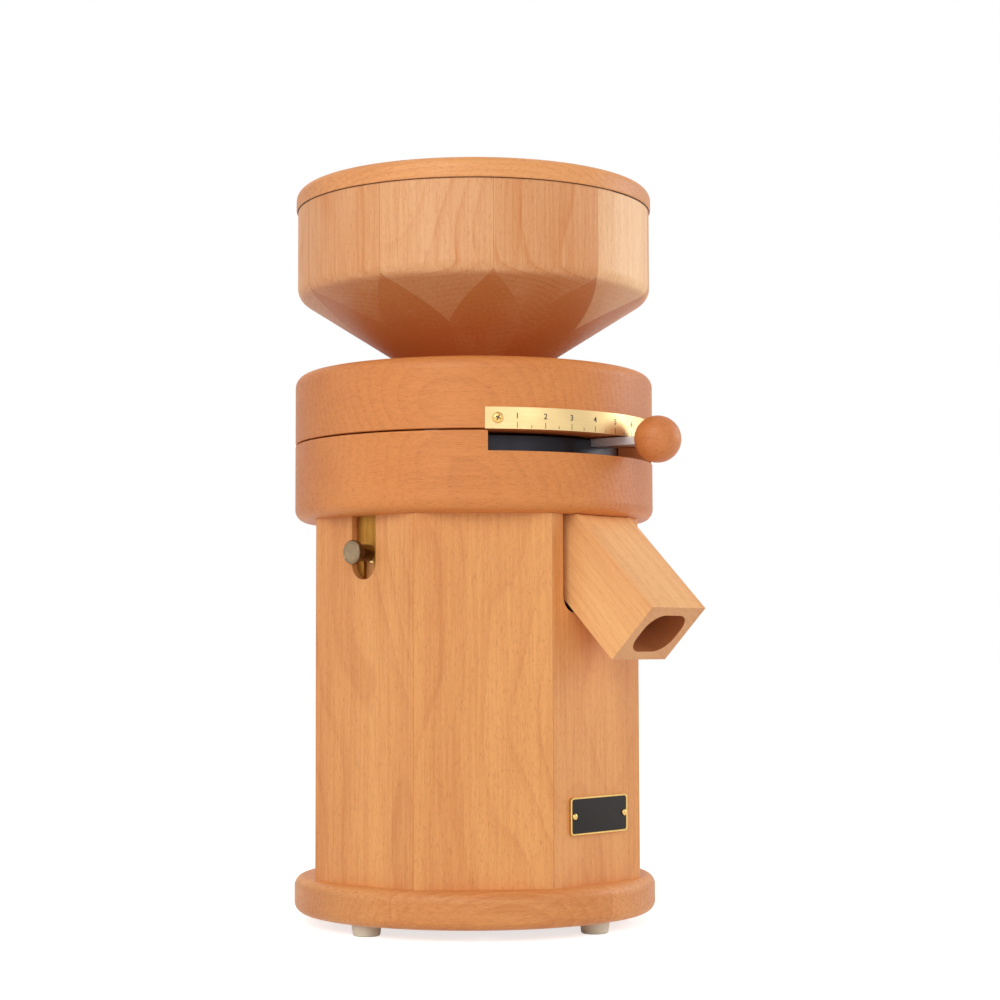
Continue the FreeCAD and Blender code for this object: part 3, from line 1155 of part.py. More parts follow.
def make_all():
    make_feet()
    base_screw_hole = make_base_plate()
    make_staves(base_screw_hole)
    bowl_holes = make_motor_deck()
    screw_holes = spout_screw_holes()
    make_chamber(bowl_holes, screw_holes)
    make_spout(screw_holes)
    make_motor()
    make_rotor()
    strap_recesses, strap_holes = make_straps()
    scale_holes = make_rings(strap_recesses, strap_holes)
    make_scale(scale_holes)
    make_lever()
    make_upper_stone()
    make_hopper()
    make_locks()
    make_nameplate()
    make_switch()
    make_gland()
    make_electrics()


def check_and_write():
    """Stops on any failed object or bad shape, then writes one file per sub-part."""
    doc.recompute()
    for thing in doc.Objects:
        if {"Invalid", "Error"} & set(thing.State):
            raise RuntimeError(f"{thing.Label} failed: {thing.State}")
    for name, piece in nodes.items():
        shape = piece.Shape
        if shape.isNull() or not shape.isValid() or not shape.Solids:
            raise RuntimeError(f"{name} has no valid solid")
    os.makedirs(PART_FOLDER, exist_ok=True)
    for name, piece in nodes.items():
        piece.Shape.exportStep(os.path.join(PART_FOLDER, f"{name}.step"))
    print(f"{len(nodes)} sub-parts written")


make_all()
check_and_write()
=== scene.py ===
"""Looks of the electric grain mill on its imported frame, in metres."""

import math

import bmesh
import bpy
from mathutils import Matrix, Vector


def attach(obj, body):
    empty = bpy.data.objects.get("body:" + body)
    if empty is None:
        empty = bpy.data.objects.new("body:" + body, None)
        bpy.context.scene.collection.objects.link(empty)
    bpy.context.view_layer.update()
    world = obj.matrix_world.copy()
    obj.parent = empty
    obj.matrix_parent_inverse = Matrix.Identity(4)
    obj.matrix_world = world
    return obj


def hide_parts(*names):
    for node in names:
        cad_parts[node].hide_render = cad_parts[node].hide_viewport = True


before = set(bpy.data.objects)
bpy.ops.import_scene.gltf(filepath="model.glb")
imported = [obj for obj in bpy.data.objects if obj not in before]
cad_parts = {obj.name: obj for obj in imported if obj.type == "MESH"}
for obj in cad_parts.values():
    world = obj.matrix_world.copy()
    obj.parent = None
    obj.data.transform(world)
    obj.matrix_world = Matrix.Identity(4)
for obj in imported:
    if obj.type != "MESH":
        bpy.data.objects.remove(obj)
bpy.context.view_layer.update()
MM = 0.001
SHADER = "ShaderNode"
LOCK_LEVEL = 176.7 * MM
SLOPE = math.sqrt(0.5)
PLAIN_AXES = ((1, 0, 0), (0, 1, 0), (0, 0, 1))

# Wood: how far pieces cut from one pattern stand apart in it, and what glued pieces share
SHIFTS = (0.003, 0.07, 0.29)
SEAM_WIDTH = 0.28 * MM
CORE_BLEND = 0.2 * MM
CORE_TONES = (0.72, 0.90)
# Painted shade deep inside the spout's bore
BORE_SHADE_COLOUR = (0.42, 0.105, 0.028)

# Turned metal: from one ring to the next
GROOVE_PITCH = 0.3 * MM


class Graph:
    """Adds and links the shader nodes of one material."""

    def __init__(self, name):
        self.material = bpy.data.materials.new(name)
        self.material.use_nodes = True
        self.tree = self.material.node_tree
        self.tree.nodes.clear()
        where = self.add("TexCoord").outputs
        self.place = where["Object"]
        self.normal = where["Normal"]

    def add(self, kind, inputs=(), **settings):
        node = self.tree.nodes.new(SHADER + kind)
        for key, value in settings.items():
            setattr(node, key, value)
        for key, value in dict(inputs).items():
            if isinstance(value, bpy.types.NodeSocket):
                self.tree.links.new(value, node.inputs[key])
            else:
                node.inputs[key].default_value = value
        return node

    def math(self, operation, a, b=0.0, clamp=False):
        return self.add("Math", {0: a, 1: b}, operation=operation, use_clamp=clamp).outputs[0]

    def vector(self, operation, a, b=(0, 0, 0)):
        node = self.add("VectorMath", {0: a, 1: b}, operation=operation)
        return node.outputs["Value" if operation in ("DOT_PRODUCT", "LENGTH") else "Vector"]

    def along(self, axis, place=None):
        return self.vector("DOT_PRODUCT", place or self.place, axis)

    def combine(self, x, y, z):
        return self.add("CombineXYZ", {"X": x, "Y": y, "Z": z}).outputs[0]

    def parts(self, place=None):
        return self.add("SeparateXYZ", {0: place or self.place}).outputs

    def noise(self, place, scale, detail=2.0, roughness=0.5):
        """Noise of a size given per metre along each of the three axes."""
        stretched = self.vector("MULTIPLY", place, scale)
        inputs = {"Vector": stretched, "Scale": 1.0, "Detail": detail, "Roughness": roughness}
        return self.add("TexNoise", inputs).outputs[0]

    def chance(self, number):
        """Three random values that stay the same for the same number."""
        return self.add("TexWhiteNoise", {"W": number}, noise_dimensions="1D").outputs["Color"]

    def either(self, share, a, b):
        """Goes from a to b as the share goes from 1 to 0."""
        rest = self.math("SUBTRACT", 1.0, share)
        return self.math("ADD", self.math("MULTIPLY", a, share), self.math("MULTIPLY", rest, b))

    def spread(self, value, low, high, to_low=0.0, to_high=1.0):
        """Maps low..high to to_low..to_high, smoothly and clamped."""
        inputs = {"Value": value, "From Min": low, "From Max": high, "To Min": to_low, "To Max": to_high}
        return self.add("MapRange", inputs, interpolation_type="SMOOTHSTEP").outputs[0]

    def mix(self, share, a, b):
        node = self.add("Mix", data_type="RGBA")
        for index, value in ((0, share), (6, a), (7, b)):
            if isinstance(value, bpy.types.NodeSocket):
                self.tree.links.new(value, node.inputs[index])
            else:
                node.inputs[index].default_value = value if index == 0 else (*value, 1.0)
        return node.outputs[2]

    def bump(self, height, distance, strength=1.0):
        return self.add("Bump", {"Height": height, "Distance": distance, "Strength": strength}).outputs[0]

    def finish(self, **sockets):
        """Ends the material in a Principled shader. Underscores stand for spaces in the socket names."""
        shader = self.add("BsdfPrincipled", {key.replace("_", " "): value for key, value in sockets.items()})
        self.add("OutputMaterial", {"Surface": shader.outputs[0]})
        return self.material


def stave_tones(g, number, tones):
    """The tone of a stave from its number, out of a list with one tone for each."""
    count = len(tones)
    ramp = g.add("ValToRGB", {0: g.math("DIVIDE", g.math("ADD", number, 0.5), float(count))})
    ramp.color_ramp.interpolation = "CONSTANT"
    points = ramp.color_ramp.elements
    points[1].position = 1 / count
    for extra in range(2, count):
        points.new(extra / count)
    for point, tone in zip(points, tones):
        point.color = (tone, tone, tone, 1.0)
    return ramp.outputs[0]


def glued_staves(g, tones, turn, shift, core):
    """Staves glued about the mill's axis: the place in a stave, its chance, tone and seams.
    Below the core's level the staves end in points between its radii, on darker wood."""
    count = len(tones)
    step = 2 * math.pi / count
    x, y, z = g.parts()
    radius = g.vector("LENGTH", g.combine(x, y, 0.0))
    sector = g.math("DIVIDE", g.math("SUBTRACT", g.math("ARCTAN2", y, x), turn), step)
    away = g.math("ABSOLUTE", g.math("SUBTRACT", g.math("FRACT", sector), 0.5))
    gap = g.math("MULTIPLY", g.math("MULTIPLY", g.math("SUBTRACT", 0.5, away), step), radius)
    seam = g.spread(gap, 0.0, SEAM_WIDTH, 0.5, 0.0)
    index = g.math("FLOOR", sector)
    if core:
        inner_radius, outer_radius, level = (size * MM for size in core)
        pointed = g.math("DIVIDE", g.math("SUBTRACT", radius, inner_radius), outer_radius - inner_radius)
        past = g.math("SUBTRACT", g.math("MULTIPLY", away, 2.0), pointed)
        past = g.math("SUBTRACT", past, g.spread(z, level, level + CORE_BLEND, 0.0, 9.0))
        stave = g.spread(past, -0.01, 0.01, 1.0, 0.0)
        inside = g.math("SUBTRACT", 1.0, stave)
        half = g.math("MULTIPLY", inside, 0.5)
        index = g.math("SUBTRACT", g.math("FLOOR", g.math("ADD", sector, half)), half)
        index = g.math("FLOOR", g.math("ADD", index, 0.25))
    number = g.math("FLOORED_MODULO", index, float(count))
    tone = stave_tones(g, number, tones)
    if core:
        chance = g.chance(g.math("ADD", number, g.math("MULTIPLY", stave, 40.0)))
        tone = g.either(stave, tone, g.spread(g.parts(chance)[1], 0.2, 0.8, *CORE_TONES))
        joint = g.spread(g.math("ABSOLUTE", past), 0.0, 0.02, 0.35, 0.0)
        seam = g.math("MAXIMUM", g.math("MULTIPLY", seam, stave), joint)
    else:
        chance = g.chance(g.math("ADD", number, shift))
    middle = g.math("ADD", g.math("MULTIPLY", g.math("ADD", index, 0.5), step), turn)
    back = g.math("MULTIPLY", middle, -1.0)
    spot = g.add("VectorRotate", {"Vector": g.place, "Angle": back}, rotation_type="Z_AXIS").outputs[0]
    return spot, chance, tone, seam


def level_boards(g, spot, offset, width, shift):
    """Level boards glued side by side: their chance, tone and seams."""
    row = g.math("DIVIDE", g.math("ADD", g.parts(spot)[0], offset * MM), width * MM)
    chance = g.chance(g.math("ADD", g.math("FLOOR", row), shift))
    tone = g.spread(g.parts(chance)[1], 0.0, 1.0, 0.0, 0.3)
    edge = g.math("ABSOLUTE", g.math("SUBTRACT", g.math("FRACT", row), 0.5))
    return chance, tone, g.spread(edge, 0.5 - 0.22 / width, 0.5, 0.0, 0.45)


def year_rings(g, spot, pith, ring, shift):
    """Dark lines about a wandering pith, one for each year's growth."""
    wobble_u = g.noise(spot, (9, 9, 4), 2.0)
    wobble_v = g.noise(g.vector("ADD", spot, (3.1, 7.3, 1.9)), (11, 11, 4), 2.0)
    u, v, _ = g.parts(spot)
    bent_u = g.math("ADD", g.math("ADD", u, pith[0] - shift * SHIFTS[0]), g.math("MULTIPLY", wobble_u, 0.045))
    bent_v = g.math("ADD", g.math("ADD", v, pith[1] - shift * SHIFTS[1]), g.math("MULTIPLY", wobble_v, 0.035))
    distance = g.vector("LENGTH", g.combine(bent_u, bent_v, 0.0))
    year = g.math("FRACT", g.math("DIVIDE", distance, ring * MM))
    late = g.math("POWER", year, 4.0)
    early = g.spread(year, 0.0, 0.10, 1.0, 0.0)
    strength = g.spread(g.noise(spot, (30, 30, 6), 1.0), 0.3, 0.7, 0.35, 1.0)
    return g.math("MULTIPLY", g.math("MAXIMUM", late, early), strength)


def inside_bore(g, half_width, half_height, corner, line):
    """1 inside a rounded bore that slopes at 45 degrees, given in mm. The line is height less Y along it."""
    x, y, z = g.parts()
    across = g.math("MULTIPLY", g.math("SUBTRACT", g.math("SUBTRACT", z, y), line * MM), SLOPE)
    over = [
        g.math("MAXIMUM", g.math("SUBTRACT", g.math("ABSOLUTE", offset), (half - corner) * MM), 0.0)
        for offset, half in ((x, half_width), (across, half_height))
    ]
    reach = g.vector("LENGTH", g.combine(*over, 0.0))
    return g.spread(reach, (corner + 0.02) * MM, (corner + 0.10) * MM, 1.0, 0.0)


def wood(name, light, dark, axes=PLAIN_AXES, staves=(), turn=0.0, boards=(), pith=(0.06, 0.02), ring=3.2,
         shift=0.0, core=(), end_axis=None, contrast=1.0, flecks=0.24, bore=()):
    """Solid beech. The axes are the way to the bark, the way round the tree and the grain.
    Staves are tones, one for each stave that the piece is glued from about the mill's axis.
    Boards are an offset and a width, for a piece glued from level boards.
    The core is as glued_staves has it and the bore as inside_bore has it; inside the bore the colour is
    darkened as painted shade."""
    g = Graph(name)
    deep = tuple(c * f for c, f in zip(dark, (0.62, 0.46, 0.40)))
    chance = (0.5, 0.5, 0.5)
    tone_of_piece = 0.0
    if staves:
        spot, chance, tone_of_piece, seam = glued_staves(g, staves, turn, shift, core)
    else:
        spot = g.combine(*(g.along(axis) for axis in axes))
    if boards:
        chance, tone_of_piece, seam = level_boards(g, spot, *boards, shift)
    jumps = g.vector("MULTIPLY", g.vector("SUBTRACT", chance, (0.5, 0.5, 0.5)), (0.02, 0.06, 1.7))
    spot = g.vector("ADD", g.vector("ADD", spot, jumps), tuple(shift * way for way in SHIFTS))
    band = year_rings(g, spot, pith, ring, shift)
    broad = g.noise(spot, (24, 24, 3.0), 3.0, 0.55)
    fibre = g.noise(spot, (640, 640, 16), 4.0, 0.62)
    thread = g.noise(spot, (1900, 1900, 60), 2.0, 0.6)
    ray = g.spread(g.noise(spot, (160, 2000, 420), 1.0, 0.5), 0.60, 0.70)
    pore = g.spread(g.noise(spot, (2600, 2600, 230), 1.0, 0.5), 0.60, 0.72)
    tone = g.math("MULTIPLY", g.math("SUBTRACT", broad, 0.5), 1.5)
    tone = g.math("ADD", tone, g.math("MULTIPLY", g.math("SUBTRACT", fibre, 0.5), 0.95))
    tone = g.math("ADD", tone, g.math("MULTIPLY", g.math("SUBTRACT", thread, 0.5), 0.6))
    tone = g.math("ADD", tone, g.math("MULTIPLY", band, 0.30))
    tone = g.math("MULTIPLY", tone, contrast)
    tone = g.math("ADD", tone, tone_of_piece)
    tone = g.math("ADD", tone, 0.16, clamp=True)
    colour = g.mix(tone, light, dark)
    colour = g.mix(g.math("MULTIPLY", ray, flecks), colour, deep)
    colour = g.mix(g.math("MULTIPLY", pore, 0.26), colour, deep)
    if end_axis is not None:
        facing = g.math("ABSOLUTE", g.vector("DOT_PRODUCT", g.normal, end_axis))
        colour = g.mix(g.spread(facing, 0.60, 0.98, 0.0, 0.36), colour, deep)
    if staves or boards:
        colour = g.mix(seam, colour, deep)
    # Painted shade: the inside of the bore is darkened
    if bore:
        colour = g.mix(g.math("MULTIPLY", inside_bore(g, *bore), 0.85), colour, BORE_SHADE_COLOUR)
    height = g.math("SUBTRACT", g.math("MULTIPLY", fibre, 0.5), g.math("MULTIPLY", pore, 0.5))
    height = g.math("SUBTRACT", height, g.math("MULTIPLY", ray, 0.25))
    rough = g.spread(fibre, 0.2, 0.8, 0.42, 0.58)
    sockets = {"Base_Color": colour, "Roughness": rough, "Specular_IOR_Level": 0.42}
    return g.finish(**sockets, Normal=g.bump(height, 0.05 * MM, 0.55))


def metal(name, colour, rough, brush, depth=0.01):
    """Metal with fine brush or lathe marks, and a slight unevenness of colour and gloss."""
    g = Graph(name)
    marks = g.noise(g.place, brush, 3.0, 0.6)
    cloud = g.noise(g.place, (60, 60, 60), 3.0)
    base = g.mix(g.spread(cloud, 0.3, 0.7), colour, tuple(c * 0.88 for c in colour))
    base = g.mix(g.spread(marks, 0.2, 0.8, 0.0, 0.35), base, tuple(c * 0.7 for c in colour))
    gloss = g.spread(marks, 0.2, 0.8, rough * 0.8, rough * 1.15)
    gloss = g.math("ADD", gloss, g.spread(cloud, 0.3, 0.7, 0.0, 0.05))
    return g.finish(Base_Color=base, Metallic=1.0, Roughness=gloss, Normal=g.bump(marks, depth * MM, 0.6))


def square_to(axis):
    """An axis and two ways square to it, each of length 1."""
    up = Vector(axis).normalized()
    across = Vector((0, 0, 1)) if abs(up.z) < 0.9 else Vector((1, 0, 0))
    first = up.cross(across).normalized()
    return up, first, up.cross(first)


def turned_metal(name, colour, rough, middle, axis):
    """Metal turned on a lathe, with rings about an axis through a point."""
    g = Graph(name)
    offset = g.vector("SUBTRACT", g.place, middle)
    height, *sides = (g.along(tuple(way), offset) for way in square_to(axis))
    radius = g.vector("LENGTH", g.combine(*sides, 0.0))
    groove = g.math("SINE", g.math("MULTIPLY", radius, 2 * math.pi / GROOVE_PITCH))
    marks = g.noise(g.combine(radius, height, 0.0), (5200, 5200, 1), 2.0)
    cloud = g.noise(g.place, (420, 420, 420), 3.0)
    base = g.mix(g.spread(cloud, 0.3, 0.7), colour, tuple(c * 0.84 for c in colour))
    base = g.mix(g.spread(marks, 0.25, 0.75, 0.0, 0.4), base, tuple(c * 0.62 for c in colour))
    relief = g.math("ADD", g.math("MULTIPLY", groove, 0.5), marks)
    gloss = g.spread(marks, 0.2, 0.8, rough * 0.8, rough * 1.25)
    return g.finish(Base_Color=base, Metallic=1.0, Roughness=gloss, Normal=g.bump(relief, 0.006 * MM, 0.5))


def plastic(name, colour, rough, grain=2600, depth=0.02, shine=0.5):
    """Moulded plastic, rubber, enamel or felt: a fine texture and a slight unevenness of tone."""
    g = Graph(name)
    fine = g.noise(g.place, (grain, grain, grain), 3.0, 0.6)
    cloud = g.noise(g.place, (90, 90, 90), 3.0)
    base = g.mix(g.spread(cloud, 0.3, 0.7), colour, tuple(c * 0.9 for c in colour))
    base = g.mix(g.spread(fine, 0.3, 0.7, 0.0, 0.3), base, tuple(c * 0.85 for c in colour))
    gloss = g.spread(fine, 0.25, 0.75, rough * 0.9, min(1.0, rough * 1.12))
    relief = g.bump(fine, depth * MM, 0.5)
    return g.finish(Base_Color=base, Roughness=gloss, Specular_IOR_Level=shine, Normal=relief)


def layered(name, colour, dark, metallic, rough, pitch):
    """Sheets or strands laid one on another, as in laminations and windings."""
    g = Graph(name)
    height = g.parts()[2]
    wander = g.noise(g.place, (500, 500, 500), 2.0)
    phase = g.math("ADD", g.math("DIVIDE", height, pitch * MM), g.math("MULTIPLY", wander, 0.3))
    ridge = g.math("SINE", g.math("MULTIPLY", phase, 2 * math.pi))
    base = g.mix(g.spread(ridge, -1.0, 1.0), dark, colour)
    base = g.mix(g.spread(wander, 0.3, 0.7, 0.0, 0.3), base, dark)
    return g.finish(Base_Color=base, Metallic=metallic, Roughness=rough, Normal=g.bump(ridge, 0.05 * MM, 0.7))


def grit(name, colour, dark, size):
    """Bonded abrasive grains."""
    g = Graph(name)
    cells = g.add("TexVoronoi", {"Vector": g.place, "Scale": 1 / (size * MM)}).outputs
    shade = g.parts(cells["Color"])[0]
    fine = g.noise(g.place, (5200, 5200, 5200), 2.0)
    base = g.mix(g.spread(shade, 0.0, 1.0), dark, colour)
    height = g.math("SUBTRACT", fine, cells["Distance"])
    return g.finish(Base_Color=base, Roughness=0.86, Normal=g.bump(height, 0.12 * MM, 0.8))


# Tones of the oiled beech, as linear colours
LIGHT = (0.82, 0.375, 0.118)
DARK = (0.60, 0.205, 0.054)
RING_LIGHT = (0.70, 0.250, 0.060)
RING_DARK = (0.50, 0.140, 0.034)
# Light end of the hopper's tones, made paler partly as painted highlight for its lit stave
PALE = (0.93, 0.58, 0.30)
SLANTED = ((1, 0, 0), (0, SLOPE, -SLOPE), (0, -SLOPE, -SLOPE))
FACE = math.pi / 8
STAVE_TURN = math.radians(12)
LEVER_ANGLE = math.radians(8.8)
OUT = Vector((math.sin(LEVER_ANGLE), -math.cos(LEVER_ANGLE), 0))
BALL_AXES = ((0, 0, 1), tuple(Vector((0, 0, 1)).cross(OUT)), tuple(OUT))


def level_grain(degrees):
    """Axes of a board whose grain runs level at an angle from +X, with its heart to one side."""
    way = math.radians(degrees)
    return ((-math.sin(way), math.cos(way), 0), (0, 0, 1), (math.cos(way), math.sin(way), 0))


BODY_TONES = (0.30, 0.12, 0.34, 0.26, 0.08, 0.10, 0.22, 0.30)
# One tone for each hopper stave. The stave with tone 0.0, where the light from the right falls, is partly
# pale wood and partly painted highlight
HOPPER_TONES_AND_HIGHLIGHT = (0.50, 0.44, 0.60, 0.50, 0.62, 0.38, 0.56, 0.0, 0.56, 0.46)
RINGS = level_grain(-52)
BASE = level_grain(-38)
POINTED_ENDS = (56, 86, 312)
SPOUT_BORE = (14.0, 11.5, 9.0, 252.02)
body_wood = wood(
    "beech_body", LIGHT, DARK, staves=BODY_TONES, turn=FACE, shift=2.0, pith=(0.02, 0.0), ring=3.6,
    end_axis=(0, 0, 1),
)
hopper_wood = wood(
    "beech_hopper", PALE, DARK, staves=HOPPER_TONES_AND_HIGHLIGHT, turn=STAVE_TURN, shift=5.0, pith=(0.03, 0.01), ring=3.0,
    core=POINTED_ENDS, end_axis=(0, 0, 1.25), contrast=0.55, flecks=0.16,
)
lid_wood = wood(
    "beech_lid", (0.80, 0.35, 0.12), DARK, axes=RINGS, shift=9.0, pith=(0.25, 0.03), end_axis=RINGS[2],
)
upper_wood = wood(
    "beech_upper_ring", RING_LIGHT, RING_DARK, axes=RINGS, shift=12.0, pith=(0.30, -0.25), end_axis=RINGS[2],
    contrast=0.8,
)
lower_wood = wood(
    "beech_lower_ring", RING_LIGHT, RING_DARK, axes=RINGS, shift=15.0, pith=(0.28, -0.20), end_axis=RINGS[2],
    contrast=0.9,
)
base_wood = wood(
    "beech_base", LIGHT, DARK, axes=BASE, boards=(5, 66), shift=18.0, pith=(0.20, -0.01), end_axis=BASE[2],
)
spout_wood = wood(
    "beech_spout", (0.90, 0.47, 0.18), (0.68, 0.27, 0.085), axes=SLANTED, shift=21.0, pith=(0.04, 0.05),
    end_axis=tuple(0.85 * c for c in SLANTED[2]), flecks=0.10, bore=SPOUT_BORE,
)
ball_wood = wood(
    "beech_ball", (0.64, 0.215, 0.058), (0.44, 0.105, 0.024), axes=BALL_AXES, pith=(-0.236, 0.004), ring=1.6,
)
plywood = wood("birch_plywood", (0.66, 0.50, 0.31), (0.50, 0.34, 0.19), axes=level_grain(0), shift=24.0)

brass = metal("brass", (0.72, 0.47, 0.16), 0.24, brush=(900, 900, 60))
# Painted shade and reflection: the lock straps' brass is darker and redder than brass, standing in for the
# shade of their recess and the wood they reflect
strap_brass_painted_shade_and_reflection = metal("brass_strap_painted_shade_and_reflection", (0.40, 0.19, 0.035), 0.5, brush=(900, 900, 60))
brushed_brass = metal("brass_brushed", (0.74, 0.54, 0.26), 0.36, brush=(60, 60, 3800), depth=0.012)
# Painted reflection: the lock screws' turned brass is coloured much darker than brass, standing in for the
# dark surroundings its face reflects
turned_brass_painted_reflection = turned_metal("brass_turned_painted_reflection", (0.24, 0.17, 0.10), 0.24, (0, 0, LOCK_LEVEL), (1, 0, 0))
steel = metal("steel", (0.62, 0.62, 0.64), 0.30, brush=(700, 700, 700))
alloy = metal("light_alloy", (0.78, 0.78, 0.80), 0.34, brush=(240, 240, 2400))
cast_alloy = metal("cast_alloy", (0.70, 0.70, 0.72), 0.48, brush=(1500, 1500, 1500), depth=0.06)
dark_metal = metal("dark_metal", (0.030, 0.029, 0.034), 0.34, brush=(30, 30, 3000))
laminated = layered("laminations", (0.42, 0.42, 0.44), (0.20, 0.19, 0.19), 0.9, 0.45, 1.0)
copper = layered("copper_windings", (0.62, 0.24, 0.09), (0.22, 0.07, 0.03), 0.7, 0.32, 1.2)
stone = grit("stone", (0.74, 0.72, 0.66), (0.48, 0.46, 0.42), 0.7)
black_plastic = plastic("black_plastic", (0.022, 0.022, 0.024), 0.42)
grey_plastic = plastic("grey_plastic", (0.42, 0.43, 0.45), 0.45)
lead_plastic = plastic("lead_plastic", (0.05, 0.10, 0.30), 0.40)
rubber = plastic("rubber_feet", (0.78, 0.70, 0.56), 0.62, grain=1500)
felt = plastic("felt", (0.55, 0.52, 0.45), 0.95, grain=1800, depth=0.2)
enamel = plastic("black_enamel", (0.014, 0.010, 0.008), 0.35, grain=900, depth=0.004, shine=0.16)
ink = plastic("black_ink", (0.015, 0.013, 0.012), 0.5)
# Painted shade: a near-black brown laid on the cross recesses of the scale screws and in the seam under the
# lid, where those hollows are in shade
painted_shade = plastic("painted_shade_brown", (0.06, 0.020, 0.008), 0.7)

NODE_MATERIALS = {
    body_wood: ("front_stave", "rear_stave", "left_stave", "right_stave", "corner_staves"),
    hopper_wood: ("hopper",),
    lid_wood: ("lid",),
    upper_wood: ("upper_ring",),
    lower_wood: ("lower_ring",),
    base_wood: ("base_plate",),
    spout_wood: ("spout",),
    ball_wood: ("lever_ball",),
    plywood: ("motor_deck",),
    strap_brass_painted_shade_and_reflection: ("lock_straps",),
    brass: (
        "scale_screws", "left_lock_stud", "right_lock_stud", "left_lock_head", "right_lock_head",
        "lock_inserts", "nameplate_pins", "nameplate",
    ),
    brushed_brass: ("scale_plate",),
    steel: (
        "foot_screws", "base_screws", "motor_tie_bolts", "motor_screws", "motor_shaft", "chamber_screws",
        "spout_screws", "ring_screws", "ring_spacers", "strap_screws", "lever_screws", "hub_nut",
        "guide_pins", "upper_bearing", "lower_bearing",
    ),
    alloy: ("lever_bar", "feed_tube", "sweeper_hub"),
    cast_alloy: ("motor_top_shield", "motor_bottom_shield", "chamber_bowl"),
    dark_metal: ("adjusting_ring", "stone_carrier"),
    laminated: ("stator_core", "rotor_core"),
    copper: ("stator_windings",),
    stone: ("upper_stone", "lower_stone"),
    black_plastic: ("switch_housing", "rocker", "cable_gland", "cooling_fan", "terminal_block"),
    grey_plastic: ("capacitor",),
    lead_plastic: ("inner_leads",),
    rubber: ("feet",),
    felt: ("chamber_seal",),
}
for material, names in NODE_MATERIALS.items():
    for name in names:
        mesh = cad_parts[name].data
        mesh.materials.clear()
        mesh.materials.append(material)

# Pieces that are finer than the CAD, in millimetres. A profile's points are radius and height
RING_RADIUS = 88.0
SCALE_FACE = RING_RADIUS + 1.0
SCALE_BOTTOM = 231.6
SCALE_STEP = 8.8
SCALE_SCREW_TURN = 41
SCALE_SCREW_HEIGHT = 5.0
SCREW_DOME = ((2.5, -0.2), (2.6, 0.25), (2.45, 0.6), (2.1, 0.95), (1.5, 1.25), (0.8, 1.4), (0.1, 1.45))
CROSS_TURN = math.radians(28)
CROSS_REACH = 1.5
CROSS_HALF = 0.27
CROSS_FOOT, CROSS_LIFT = -0.3, 0.02
CROSS_CREST = 1.47  # height of the dome under the cross, which falls to nothing at this radius:
CROSS_FALL = 2.65
MIDDLE_NUMBER = 5
LAST_NUMBER = 9
TICK_HALF = 0.15
TICK_FOOT = 0.45
TICK_TOP, HALF_TICK_TOP = 3.1, 1.8
TICK_LIFTS = (-0.05, 0.03)
DIGIT_HEIGHT = 2.6
DIGIT_MIDDLE = 6.1
DIGIT_LIFT = 0.04
DIGIT_WEIGHT = 0.05
CAPITAL_SHARE = 0.70  # height of a figure of the built-in typeface as a share of its size
PLATE_LEVEL = 54.8
PLATE_BACK = 77.1
# Half width, half height, corner radius and how far in front of the plate's back
PLATE_FRAME = (
    (21.0, 8.75, 2.0, 0.0), (21.0, 8.75, 2.0, 1.0), (20.8, 8.55, 1.8, 1.2), (20.2, 7.95, 1.3, 1.2),
    (20.05, 7.8, 1.2, 1.0),
)
PLATE_ENAMEL = ((20.05, 7.8, 1.2, 1.01), (20.0, 7.75, 1.2, 1.06), (19.6, 7.35, 1.0, 1.10))
PIN_OFFSET = 18.3
PIN_SEAT = 1.2
PIN_DOME = ((1.55, -0.1), (1.55, 0.15), (1.4, 0.5), (1.05, 0.8), (0.55, 0.97), (0.1, 1.0))
HEAD_PROFILE = (
    (4.0, 73.8), (4.0, 82.3), (4.3, 82.5), (5.15, 82.5), (5.6, 82.9), (5.65, 83.0), (5.65, 85.0), (5.6, 85.1),
    (5.1, 85.5), (4.7, 85.5), (4.5, 85.3), (4.3, 85.3), (4.1, 85.4), (1.2, 85.25), (0.25, 85.2),
)
KNURL_FROM = 5.5  # loops of the head that are wider than this are knurled
KNURL_TEETH = 64
KNURL_DEPTH = 0.28
# Where the band of painted shade in the seam under the lid lies: radius, level, height and depth
SEAM_RADIUS, SEAM_LEVEL, SEAM_HEIGHT, SEAM_DEPTH = 87.45, 347.95, 0.85, 0.6


def new_piece(name, points, faces, material, body, slot, replaced=(), smooth=30):
    """A mesh from points in millimetres, riding on a body."""
    mesh = bpy.data.meshes.new(name)
    mesh.from_pydata([tuple(c * MM for c in point) for point in points], [], faces)
    shape = bmesh.new()
    shape.from_mesh(mesh)
    bmesh.ops.recalc_face_normals(shape, faces=shape.faces)
    shape.to_mesh(mesh)
    shape.free()
    piece = bpy.data.objects.new(name, mesh)
    bpy.context.scene.collection.objects.link(piece)
    mesh.materials.append(material)
    mesh.shade_smooth()
    mesh.set_sharp_from_angle(angle=math.radians(smooth))
    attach(piece, body)
    if replaced:
        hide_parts(*replaced)
    return piece


def bridged(loops, capped=True):
    """Points and faces of a tube through closed loops of equal length, with its ends closed."""
    count = len(loops[0])
    points = [point for loop in loops for point in loop]
    faces = []
    for row in range(len(loops) - 1):
        start, after = row * count, (row + 1) * count
        for i in range(count):
            j = (i + 1) % count
            faces.append((start + i, start + j, after + j, after + i))
    if capped:
        faces.append(tuple(range(count)))
        faces.append(tuple(range(len(points) - count, len(points))))
    return points, faces


def joined(shapes):
    """Points and faces of several shapes in one list each."""
    points, faces = [], []
    for more_points, more_faces in shapes:
        faces += [tuple(i + len(points) for i in face) for face in more_faces]
        points += more_points
    return points, faces


